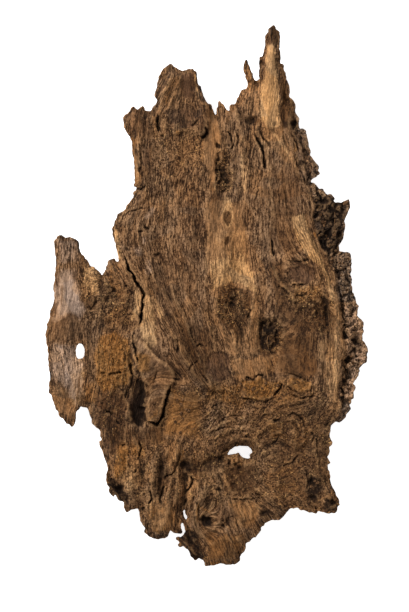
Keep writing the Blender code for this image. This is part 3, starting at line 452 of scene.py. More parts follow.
# Cracks: half width and depth in millimetres, then points
CRACKS = [
    (1.05, 8.0, 123, 252, 128.5, 265, 130, 270, 133, 275.5, 135, 281, 138.5, 286, 143.5, 295, 142.5, 299,
     141, 312, 140, 319, 136, 328.5),
    (0.6, 3.5, 134.5, 331, 133, 337, 135.5, 352, 137.5, 358, 137, 366),
    (1.0, 5.0, 130.5, 363, 130.8, 376),
    (1.05, 7.5, 174, 383, 170, 388, 167, 398, 164.5, 408, 162, 417, 158, 424, 152, 421.5, 144, 420),
    (0.75, 3.6, 138.5, 440, 142, 448, 140, 454, 138.5, 461),
    (0.6, 2.5, 136.5, 468, 135, 473),
    (0.5, 2.0, 132.5, 477, 131.5, 482),
    (0.8, 4.0, 150, 488, 151, 499, 148, 505),
    (0.7, 3.0, 145, 506, 141, 509),
    (0.75, 3.0, 163, 483, 167, 476, 173, 473, 177, 465, 179.5, 455, 181, 448),
    (0.75, 3.2, 189, 474, 192.5, 480, 189, 488, 184, 493),
    (0.7, 2.6, 186, 498, 184.5, 505),
    (0.95, 4.5, 254, 133, 258, 140, 262, 147, 263.5, 155, 264.5, 165, 265, 174),
    (0.7, 2.6, 271, 238, 272.5, 246, 273.5, 258),
    (0.5, 1.6, 207.6, 319.5, 212.8, 335, 214, 349),
    (0.65, 2.4, 100, 373, 106, 371.5),
    (0.7, 3.0, 108, 376, 111, 372.5, 115, 372.5, 118, 371, 124, 372.5),
    (0.55, 2.0, 124, 350, 126, 357, 124, 362),
    (0.5, 1.6, 110, 356, 114, 360, 113, 366),
    (0.75, 3.0, 243, 380, 247, 377.5, 252, 382, 255, 379, 257, 375.5, 266, 374.5),
    (0.65, 2.8, 277, 383, 281, 385, 280, 388, 276, 394, 273, 396),
    (0.5, 2.2, 270, 398.5, 267, 400, 262, 402.5),
    (0.7, 2.6, 236, 402, 238, 398, 243, 399, 252, 400.5),
    (0.8, 2.6, 203, 375, 208, 385),
    (0.6, 2.2, 283, 386, 288, 386, 292, 390, 300, 392.5),
    (0.65, 2.2, 285, 372, 295, 374, 300, 378, 305, 380, 311, 382),
    (0.85, 2.4, 287, 393, 296, 396, 302, 398, 316, 395),
    (0.65, 2.4, 262, 418, 266, 414.5, 273, 415),
    (1.2, 2.6, 268, 322, 262, 324, 260, 330, 261, 340),
    (0.6, 1.6, 274, 325, 277, 331, 275, 338, 278, 345),
    (0.7, 2.0, 258, 330, 262, 334, 260, 340),
    (0.7, 1.8, 268, 348, 271, 353, 276, 352),
    (0.6, 1.6, 278, 336, 282, 341),
    (0.45, 0.9, 222, 213, 226, 210.5, 230, 214, 230.5, 221, 227, 226, 223, 223),
    (1.0, 2.4, 247, 320, 249, 313, 252, 308),
    (0.5, 1.4, 228, 291, 233, 289, 236, 294, 233, 299, 228, 297),
    (0.6, 1.6, 219, 310, 224, 316, 223, 322),
    (0.6, 1.6, 84, 298, 88, 294.5, 94, 297, 95.5, 303, 91, 309, 85, 307),
    (0.6, 2.2, 260, 128, 263, 137, 269, 146, 272, 152),
    (0.8, 2.6, 226, 128, 231, 136, 233, 145, 229, 152),
    (0.6, 2.0, 236, 133, 239, 140, 236, 147),
    (0.45, 1.4, 243, 176, 241, 186, 246, 194),
    (0.45, 1.6, 262, 160, 268, 180, 270, 206, 270, 236),
    (0.6, 2.0, 292, 148, 296, 162, 303, 178, 309, 190),
    (0.45, 1.4, 283, 176, 286, 200, 290, 222),
    (0.6, 2.0, 190, 326, 192, 336, 197, 345),
    (0.7, 2.4, 197, 348, 200, 344, 204, 347),
    (0.6, 1.8, 200, 358, 192, 364, 188, 372),
    (0.4, 1.4, 172, 308, 180, 326, 186, 342),
    (0.75, 3.0, 176, 338, 177.5, 346, 177, 354),
    (0.7, 2.2, 230, 497.5, 244, 499, 262, 498),
    (0.6, 1.8, 214, 470, 222, 479, 224, 492),
    (0.45, 1.8, 270, 445, 276, 442, 280, 435),
    (0.6, 2.0, 300, 452, 292, 462, 280, 468),
    (0.6, 2.2, 284, 418, 292, 413, 303, 419, 306, 432),
    (0.5, 1.8, 216, 424, 226, 417, 240, 416),
    (0.5, 1.6, 206, 436, 220, 428, 236, 427),
    (0.7, 2.4, 196, 500, 200, 510, 198, 518),
    (0.5, 1.0, 214, 512, 222, 520, 226, 530),
    (0.5, 1.6, 228, 514, 236, 520, 238, 530),
    (0.5, 2.0, 318, 430, 317, 452, 319, 474),
    (0.5, 2.0, 304, 466, 308, 480, 306, 492),
    (0.9, 3.0, 272, 419.5, 281, 420),
    (0.6, 2.2, 211, 409, 213, 405.5, 216, 405.5, 218, 408),
    (0.6, 2.0, 239, 437, 250, 436, 255, 442),
    (0.5, 2.0, 311, 429, 314, 436, 311, 443),
    (0.7, 3.0, 104, 411, 110, 411.5, 113, 415),
    (0.5, 2.2, 114, 419, 119, 424, 127, 427),
    (0.45, 1.8, 126, 443, 121, 446),
    (0.6, 2.0, 217, 149, 219, 158, 216, 166, 217.5, 176, 215.5, 183, 219, 191),
    (0.55, 1.8, 285, 261, 298, 262, 311, 261),
    (0.5, 1.8, 157, 370, 153, 385),
    (0.7, 2.8, 164, 483, 163, 492, 160.5, 500, 163, 506),
    (1.0, 3.0, 158, 114, 158.5, 124, 159.5, 134),
    (1.3, 3.4, 206, 126, 206.5, 134, 201, 139.5),
    (0.7, 2.0, 192, 127, 199, 119),
    (0.8, 2.2, 143, 227, 150, 229.5),
    (0.8, 2.0, 137, 232, 143, 231.5),
    (0.5, 1.6, 170, 215, 174, 219, 178.5, 227),
    (0.8, 2.6, 135, 188.5, 141, 189.5, 147, 185),
    (0.6, 1.8, 117, 212, 123, 216, 128, 212, 146, 207),
    (0.7, 2.0, 291, 283.5, 297, 285, 303, 284, 308, 285),
    (0.7, 2.2, 295, 295, 302, 296, 308, 293),
    (0.6, 2.0, 276, 285, 283, 289, 290, 297),
    (0.45, 1.4, 187, 232, 187.5, 241),
    (0.5, 1.6, 150, 268, 149, 283),
    (0.45, 1.4, 181, 150, 184, 166, 190, 178),
    (0.7, 2.2, 139, 141, 141, 158, 139.5, 172, 143, 180),
    (0.8, 2.6, 298, 140, 304, 146, 303, 154),
    (0.7, 2.4, 290, 132, 296, 142, 299, 152),
    (0.8, 2.6, 300, 160, 308, 166, 312, 174),
]
# Hollows and knots: middle and half sizes in pixels, then height in millimetres, negative for a hollow
BUMPS = [
    (138, 402, 8, 24, -3.6),
    (270, 337, 11, 15, -3.8),
    (226.5, 218, 3.6, 5.4, -1.6),
    (227, 241, 2.6, 4.6, -1.4),
    (100, 284, 3, 8, -2.4),
    (106, 300, 3, 3, -1.6),
    (128, 300, 4, 6, 1.6),
    (252, 120, 7, 5, -2.0),
    (328, 308, 4, 9, -2.0),
    (318, 300, 5, 3, 1.2),
    (323, 313, 10, 19, -2.4),
    (303, 272, 16, 12, -2.6),
    (223, 170, 7, 22, -3.4),
    (206, 521, 6, 7, -5.5),
    (119, 489, 5, 6, -4.0),
    (316, 487, 8, 9, -2.2),
    (236, 452, 20, 11, -1.8),
    (241, 480, 17, 14, -3.2),
    (205, 464, 24, 7, -2.2),
    (246, 514, 14, 10, 1.6),
    (162, 516, 12, 16, 1.6),
    (122, 462, 9, 15, 1.4),
    (232, 305, 15, 24, 1.8),
    (231, 306, 6, 11, -2.6),
    (226.5, 218, 5, 7, 1.3),
    (89, 302, 8, 10, 1.4),
    (294, 434, 8, 11, 2.4),
    (276, 428, 8, 9, 1.8),
    (206, 521, 14, 14, 1.8),
    (108, 362, 20, 26, 1.6),
    (222, 545, 18, 18, 1.6),
    (216.8, 146, 2.2, 2.8, -3.0),
    (157.5, 255, 2, 1.8, -2.0),
    (113, 291, 2.6, 2.6, -2.4),
    (125.5, 286.5, 2.2, 2.2, -2.4),
    (184, 465, 3, 3, -2.4),
    (109, 323, 3.4, 3, -1.8),
    (311, 481, 2.6, 3, -2.0),
    (313, 497, 3, 2.4, -2.0),
    (264, 513, 5, 2.4, -2.4),
    (218, 489, 4.5, 1.8, -2.0),
    (213, 394, 2.6, 2, -2.0),
    (330, 503, 5, 3, -2.6),
    (163.5, 136.5, 2, 1.6, -1.8),
    (265, 330, 3, 2.4, -1.6),
    (222, 176, 3.4, 5, -1.2),
    (226, 182, 3, 3.4, -1.4),
    (221, 160, 3, 4, 1.6),
    (228, 170, 2.4, 4, 1.4),
    (224, 153, 2.6, 2.6, -1.4),
    (272, 334, 3, 2, 0.9),
    (266, 343, 2, 3, 0.8),
    (273, 345, 3, 2.4, -1.6),
    (262, 338, 2, 3, -1.4),
    (276, 328, 3, 1.6, 1.0),
    (277, 339, 2, 4, -1.2),
]
# How the grain runs: a line's own place across the grain, in pixels, then the points that it passes
GRAIN_LINES = [
    (50, 57, 240, 54, 300, 50, 350, 60, 410),
    (76, 78, 245, 84, 300, 81, 360, 74, 420),
    (102, 104, 275, 109, 320, 106, 370, 99, 430, 108, 480),
    (126, 126, 130, 131, 180, 118, 220, 120, 255, 134, 282, 139, 310, 132, 350, 128, 400, 122, 440, 130,
     490),
    (148, 148, 130, 148, 160, 144, 210, 145, 262, 156, 300, 172, 335, 190, 372, 206, 392),
    (162, 155, 128, 159, 112, 166, 96, 176, 76),
    (150, 156, 396, 148, 440, 150, 500, 152, 530),
    (166, 184, 412, 164, 444, 168, 480, 164, 525),
    (184, 182, 75, 180, 130, 176, 190, 176, 250, 184, 300, 196, 345, 206, 376, 214, 392),
    (188, 206, 424, 186, 446, 184, 480, 182, 500),
    (208, 204, 110, 208, 160, 207, 220, 209, 280, 213, 325, 221, 356, 229, 384),
    (216, 214, 452, 214, 480, 212, 500, 222, 560),
    (232, 228, 115, 229, 160, 229, 220, 232, 265, 240, 340, 247, 384),
    (238, 236, 502, 232, 520, 240, 556),
    (256, 256, 502, 252, 520),
    (262, 268, 40, 264, 90, 262, 140, 260, 200, 260, 260, 264, 310, 262, 360, 262, 400),
    (290, 284, 110, 288, 160, 291, 210, 301, 245, 312, 280, 318, 320, 318, 370, 308, 410),
    (296, 300, 425, 308, 470, 300, 505),
    (312, 300, 140, 306, 180, 312, 222, 324, 258, 333, 295, 337, 335, 336, 400),
    (318, 324, 430, 322, 470, 330, 505),
    (346, 345, 205, 342, 260, 350, 310, 358, 350, 348, 400),
]
# Where the grain swells round a knot: middle, reach and push across the grain, all in pixels
GRAIN_KNOTS = [
    (231, 307, 17, 8),
    (269, 338, 15, 8),
    (226.5, 218, 7, 4),
    (206, 521, 13, 22),
    (262, 464, 40, 62),
    (294, 434, 10, -14),
    (303, 272, 14, -4),
    (89, 302, 9, 6),
]
# Worn plates that touch the floor: middle in pixels, half sizes in millimetres
FEET = [(154, 240, 9.0, 13.0), (262, 226, 9.0, 12.0), (256, 412, 10.0, 12.0), (176, 430, 8.5, 12.5)]
FOOT_BLEND = 16.0
# Areas of one colour: strength from 0 to 1, softness of the edge in millimetres, then points
TINTS = {
    "tan": [
        (1.0, 6.0, 208, 204, 228, 200, 242, 208, 246, 240, 248, 262, 256, 290, 212, 290, 205, 246),
        (1.0, 1.4, 208, 102, 213, 110, 219, 125, 222, 148, 216, 158, 216, 172, 214, 192, 209, 190, 208,
         170, 201, 158, 200, 142, 208, 134, 208, 118),
        (0.8, 2.0, 207, 98, 212, 112, 218, 124, 222, 140, 219, 156, 206, 158, 203, 148, 209, 132),
        (0.95, 1.4, 232, 360, 241, 358, 252, 360, 262, 356, 271, 356, 269, 367, 266, 375, 254, 377, 244,
         381, 235, 380),
        (0.65, 6.0, 228, 326, 252, 322, 258, 356, 232, 358),
        (0.3, 16.0, 146, 262, 200, 262, 204, 330, 190, 350, 160, 320),
        (0.85, 4.0, 326, 336, 338, 350, 338, 405, 330, 412, 322, 380),
        (0.3, 4.0, 322, 268, 334, 276, 338, 310, 338, 340, 331, 336, 328, 300),
        (0.7, 3.0, 213, 286, 219, 284, 220, 322, 232, 338, 250, 322, 252, 284, 259, 286, 258, 356, 232,
         357, 214, 322),
        (0.8, 2.0, 245, 62, 249, 64, 255, 84, 262, 88, 263, 112, 256, 112, 249, 92),
        (0.85, 3.0, 262, 124, 280, 126, 298, 158, 300, 172, 284, 160, 266, 146),
        (0.4, 8.0, 236, 124, 262, 130, 262, 192, 236, 192),
        (0.3, 5.0, 57, 236, 78, 240, 80, 260, 56, 262),
        (0.85, 1.6, 130, 135, 136, 139, 138, 150, 138, 168, 142, 176, 140, 187, 134, 188),
        (0.4, 4.0, 108, 260, 121, 262, 122, 292, 108, 292),
        (0.35, 5.0, 100, 298, 114, 324),
        (0.45, 5.0, 244, 62, 258, 86, 262, 112, 248, 112, 244, 96),
        (0.7, 5.0, 228, 499, 262, 501, 262, 512, 246, 530, 232, 530),
        (0.75, 5.0, 150, 498, 164, 494, 178, 508, 174, 528, 156, 534, 148, 520),
        (0.7, 4.0, 168, 440, 184, 444, 182, 460, 174, 474, 168, 462),
        (0.5, 4.0, 146, 470, 158, 466, 158, 484, 150, 500),
        (0.6, 4.0, 184, 478, 196, 476, 198, 496, 188, 504),
        (0.45, 4.0, 150, 436, 162, 434, 158, 450, 148, 456),
        (0.35, 6.0, 262, 448, 286, 452, 292, 470, 270, 468),
        (0.6, 4.0, 336, 300, 366, 300, 366, 402, 340, 404),
        (0.85, 5.0, 119, 458, 138, 456, 140, 488, 124, 490),
        (1.0, 5.0, 52, 386, 64, 390, 78, 384, 76, 424, 58, 408),
        (0.9, 4.0, 82, 262, 100, 272, 102, 296, 84, 294),
        (0.3, 5.0, 50, 316, 90, 318, 92, 340, 48, 342),
        (0.35, 6.0, 134, 352, 150, 350, 164, 374, 160, 404, 148, 402, 142, 376),
        (0.5, 4.0, 262, 480, 274, 482, 274, 496, 262, 496),
        (0.4, 4.0, 266, 466, 284, 468, 280, 480, 268, 480),
        (0.3, 8.0, 140, 196, 200, 186, 202, 206, 150, 214),
        (0.4, 6.0, 200, 470, 216, 468, 216, 500, 200, 500),
        (0.6, 5.0, 164, 76, 184, 78, 180, 110, 164, 110),
        (0.25, 8.0, 206, 402, 262, 434),
        (0.3, 8.0, 150, 440, 200, 440, 204, 500, 150, 500),
        (0.4, 4.0, 240, 90, 256, 92, 258, 122, 240, 122),
        (0.4, 4.0, 324, 340, 338, 340, 338, 404, 326, 404),
    ],
    "pale": [
        (0.75, 1.6, 267, 48, 272, 44, 276, 60, 279, 88, 281, 120, 279, 128, 268, 127, 260, 122, 260, 96,
         264, 70),
        (1.0, 2.0, 229, 264, 234, 259, 238, 262, 243, 260, 249, 270, 254, 282, 257, 293, 251, 291, 242,
         283, 230, 281),
        (0.9, 4.0, 211, 262, 230, 258, 232, 280, 222, 286, 212, 290),
        (0.6, 2.0, 223, 197, 228, 193, 232, 202, 233, 220, 230, 228, 224, 226, 221, 212),
        (0.7, 4.0, 141, 290, 151, 298, 156, 320, 158, 344, 146, 352, 139, 330),
        (0.7, 1.6, 133, 287, 141, 294, 139.5, 312, 134, 324, 131, 318, 136, 304),
        (1.0, 2.5, 292, 216, 302, 214, 310, 232, 318, 250, 325, 266, 316, 266, 303, 250, 295, 236),
        (0.6, 5.0, 317, 338, 326, 338, 326, 364, 317, 362),
        (0.7, 2.0, 113, 228, 117, 230, 124, 258, 120, 260, 115, 246),
        (0.9, 3.0, 74, 356, 82, 358, 85, 372, 82, 386, 81, 404, 72, 404, 70, 382),
        (0.7, 3.0, 84, 268, 92, 266, 100, 276, 99, 292, 90, 292, 83, 282),
        (0.4, 5.0, 126, 466, 138, 462, 140, 486, 128, 490),
        (0.5, 2.0, 148, 286, 156, 300, 166, 320, 160, 318, 152, 304),
        (0.35, 4.0, 242, 148, 249, 150, 247, 192, 240, 190),
        (0.3, 6.0, 210, 228, 246, 228, 246, 260, 212, 260),
        (0.4, 3.0, 298, 228, 310, 236, 316, 250, 306, 248),
        (0.4, 4.0, 326, 340, 337, 340, 337, 402, 327, 402),
        (0.25, 4.0, 144, 284, 152, 286, 156, 302, 146, 300),
    ],
    "grey": [
        (0.9, 9.0, 57, 276, 64, 270, 74, 272, 79, 284, 80, 298, 85, 310, 78, 317, 66, 313, 55, 318, 54,
         300),
        (0.75, 7.0, 50, 345, 62, 343, 74, 347, 84, 362, 84, 384, 78, 404, 72, 402, 66, 388, 54, 382, 50,
         366),
        (0.5, 3.0, 149, 206, 154, 208, 153, 218, 147, 222, 144, 218),
        (0.45, 3.0, 134, 246, 142, 245, 144, 252, 141, 258, 136, 255),
        (0.4, 3.0, 143, 258, 150, 260, 152, 272, 148, 278, 143, 272),
        (0.5, 3.0, 142, 236, 147, 236, 147, 244, 143, 246),
        (0.1, 8.0, 156, 140, 200, 138, 200, 180, 158, 182),
        (0.2, 8.0, 206, 402, 256, 434),
        (0.45, 5.0, 342, 304, 366, 304, 366, 398, 344, 398),
        (0.3, 3.0, 322, 498, 338, 500, 338, 511, 322, 511),
        (0.5, 5.0, 58, 238, 78, 242, 80, 262, 58, 264),
        (0.35, 4.0, 296, 134, 310, 138, 316, 180, 300, 180),
        (0.3, 5.0, 284, 425, 298, 424, 298, 444, 286, 444),
    ],
    "ochre": [
        (0.5, 2.0, 130, 136, 135, 139, 136, 152, 137, 172, 139, 186, 134, 187, 132, 160),
        (0.35, 4.0, 296, 134, 304, 132, 310, 150, 316, 168, 310, 180, 304, 160),
        (0.85, 5.0, 100, 336, 116, 332, 130, 342, 134, 360, 131, 384, 118, 388, 104, 392, 97, 380, 96,
         352),
        (0.5, 4.0, 84, 384, 98, 380, 100, 404, 84, 402),
        (0.7, 4.0, 134, 352, 150, 356, 150, 372, 136, 372),
        (1.0, 2.0, 242, 383, 252, 380, 259, 376, 267, 381, 281, 384, 275, 396, 264, 401, 244, 399),
        (1.0, 2.0, 290, 379, 300, 378, 311, 382, 309, 390, 298, 391, 290, 386),
        (0.95, 4.0, 115, 444, 128, 442, 128, 470, 116, 478),
        (0.5, 5.0, 292, 284, 318, 284, 316, 304, 294, 302),
        (0.55, 8.0, 166, 388, 204, 392, 202, 440, 162, 436),
        (0.6, 5.0, 206, 384, 242, 384, 242, 404, 206, 400),
        (0.4, 6.0, 268, 384, 290, 376, 318, 392, 300, 404, 276, 404),
        (0.25, 10.0, 240, 460, 300, 462, 300, 500, 262, 500),
        (0.5, 6.0, 205, 530, 245, 534, 240, 562, 205, 562),
        (0.35, 4.0, 108, 262, 122, 292),
        (0.6, 3.0, 267, 419, 284, 421, 283, 436, 270, 437),
        (0.4, 4.0, 287, 420, 303, 422, 303, 442, 290, 444),
        (0.4, 5.0, 228, 499, 262, 501, 256, 526, 232, 526),
        (0.4, 5.0, 148, 498, 176, 500, 174, 534, 150, 534),
        (0.35, 5.0, 262, 354, 310, 354, 310, 376, 264, 376),
        (0.6, 4.0, 128, 442, 146, 442, 144, 458, 130, 456),
        (0.4, 4.0, 158, 66, 172, 66, 168, 82, 160, 82),
    ],
    "mauve": [
        (1.0, 2.0, 207, 354, 217, 350, 228, 353, 231, 364, 230, 376, 222, 382, 213, 380, 207, 370),
        (0.95, 2.6, 290, 264, 302, 261, 315, 265, 317, 274, 310, 282, 298, 283, 290, 276),
        (0.85, 6.0, 94, 396, 130, 396, 130, 432, 100, 430),
        (0.4, 8.0, 276, 165, 300, 168, 300, 215, 280, 215),
        (0.9, 3.0, 180, 74, 194, 74, 196, 99, 180, 98),
        (0.7, 5.0, 168, 108, 206, 108, 204, 128, 170, 128),
        (0.5, 5.0, 126, 112, 148, 110, 150, 134, 130, 132),
        (0.6, 5.0, 102, 430, 126, 434, 118, 450, 106, 460),
        (0.4, 6.0, 200, 438, 230, 436, 226, 454, 202, 458),
        (0.5, 6.0, 222, 468, 256, 466, 258, 490, 226, 494),
        (0.5, 3.0, 142, 146, 150, 146, 150, 170, 143, 170),
        (0.4, 6.0, 212, 505, 240, 505, 236, 525, 214, 524),
        (0.5, 4.0, 160, 452, 170, 454, 168, 482, 158, 482),
    ],
    "umber": [
        (0.85, 3.0, 221, 287, 229, 283, 238, 287, 247, 292, 251, 302, 249, 314, 246, 330, 240, 338, 228,
         332, 218, 316, 216, 298),
        (1.0, 0.8, 223, 213, 227, 211, 230, 215, 230, 222, 226, 225.5, 223, 221),
        (1.0, 0.8, 224.6, 237.5, 227.6, 236, 230, 240, 228.4, 245, 225, 245),
        (0.7, 3.0, 247, 116, 258, 116, 259, 125, 249, 126),
        (0.45, 5.0, 178, 340, 196, 336, 207, 352, 204, 374, 188, 372, 180, 358),
        (0.75, 8.0, 274, 288, 292, 302, 318, 296, 336, 318, 334, 332, 300, 334, 272, 324),
        (0.75, 8.0, 276, 330, 318, 334, 318, 376, 278, 378),
        (0.55, 10.0, 272, 402, 330, 402, 328, 500, 274, 500, 262, 440),
        (0.7, 8.0, 180, 322, 212, 330, 210, 352, 206, 384, 192, 376, 180, 350),
        (0.65, 4.0, 176, 456, 200, 460, 228, 450, 230, 462, 206, 476, 180, 482),
        (0.6, 4.0, 222, 466, 240, 462, 258, 468, 260, 488, 246, 496, 226, 492),
        (0.6, 5.0, 100, 404, 130, 428, 166, 426, 166, 444, 132, 448, 104, 440),
        (0.6, 3.0, 158, 452, 170, 454, 168, 484, 160, 500, 155, 484),
        (0.5, 3.0, 168, 496, 174, 498, 170, 520, 164, 516),
        (0.5, 6.0, 94, 386, 131, 392, 130, 434, 98, 428),
        (0.9, 3.0, 83, 296, 96, 310),
        (0.45, 6.0, 104, 286, 134, 290, 132, 326, 112, 326),
        (0.5, 3.0, 219, 151, 226, 148, 231, 154, 229, 164, 233, 176, 231, 188, 223, 193, 217, 188, 218,
         176, 216, 164),
        (0.8, 3.0, 278, 50, 286, 60, 298, 128, 281, 128),
        (0.5, 4.0, 286, 128, 302, 130, 310, 148, 318, 168, 310, 182, 300, 164, 292, 144),
        (0.6, 4.0, 264, 26, 280, 26, 279, 46, 265, 44),
        (0.3, 5.0, 86, 320, 100, 324, 98, 380, 88, 380),
        (0.7, 6.0, 255, 315, 284, 318, 286, 350, 272, 360, 256, 354),
        (0.3, 5.0, 150, 395, 166, 398, 160, 424, 146, 424),
        (0.3, 6.0, 200, 350, 180, 352, 170, 372, 200, 384),
        (0.5, 4.0, 222, 508, 240, 516, 232, 530, 222, 524),
        (0.75, 5.0, 266, 262, 282, 262, 296, 300, 276, 302),
        # Painted shade in the cavity under the flap
        (0.6, 3.0, 131, 376, 147, 384, 146, 422, 130, 422),
        (0.35, 5.0, 206, 532, 240, 534, 236, 558, 208, 558),
        (0.35, 8.0, 262, 172, 300, 176, 298, 256, 266, 256),
        (0.25, 5.0, 262, 356, 310, 356, 310, 374, 264, 374),
    ],
    # Near-black: charred-looking bark at the lower tips, and painted shadow in the cavity, knot holes,
    # hollows and gaps
    "soot_and_shadow": [
        (0.7, 2.0, 132, 376, 141, 380, 144, 394, 147, 408, 144, 422, 138, 426, 132, 420, 129, 410),
        (0.25, 3.0, 218, 168, 224, 166, 227, 172, 230, 180, 226, 188, 221, 190, 219, 180),
        (0.75, 2.4, 262, 327, 266, 322, 274, 325, 281, 329, 277, 334, 272, 336, 275, 343, 271, 351, 264,
         350, 260, 341, 263, 334),
        (0.5, 2.0, 98, 276, 104, 280, 105, 296, 100, 298),
        (0.25, 3.0, 316, 298, 326, 296, 333, 304, 333, 326, 326, 322, 318, 308),
        (1.0, 3.0, 176, 530, 196, 532, 204, 558, 190, 560),
        (0.85, 3.0, 106, 476, 116, 480, 126, 492, 128, 504, 122, 506, 108, 494),
        (1.0, 2.0, 202, 515, 210.5, 527),
        (0.75, 4.0, 307, 474, 320, 476, 322, 492, 316, 502, 306, 500),
        (0.6, 3.0, 184, 460, 196, 462, 194, 472, 184, 472),
        (0.7, 4.0, 199, 126, 209, 126, 208, 140, 200, 140),
        (0.65, 4.0, 315, 198, 330, 196, 346, 200, 342, 246, 334, 254, 320, 250, 314, 226),
        (0.5, 4.0, 348, 330, 360, 336, 362, 352, 350, 352),
        (0.7, 3.0, 324, 497, 338, 498, 338, 511, 322, 511),
        (0.4, 3.0, 228, 290, 237, 290, 238, 300, 229, 300),
        (0.6, 3.0, 281, 120, 297, 120, 297, 128, 282, 128),
        (0.7, 3.0, 259, 509, 270, 509, 270, 517, 259, 516),
        (0.6, 2.0, 269, 418, 282, 422),
    ],
}
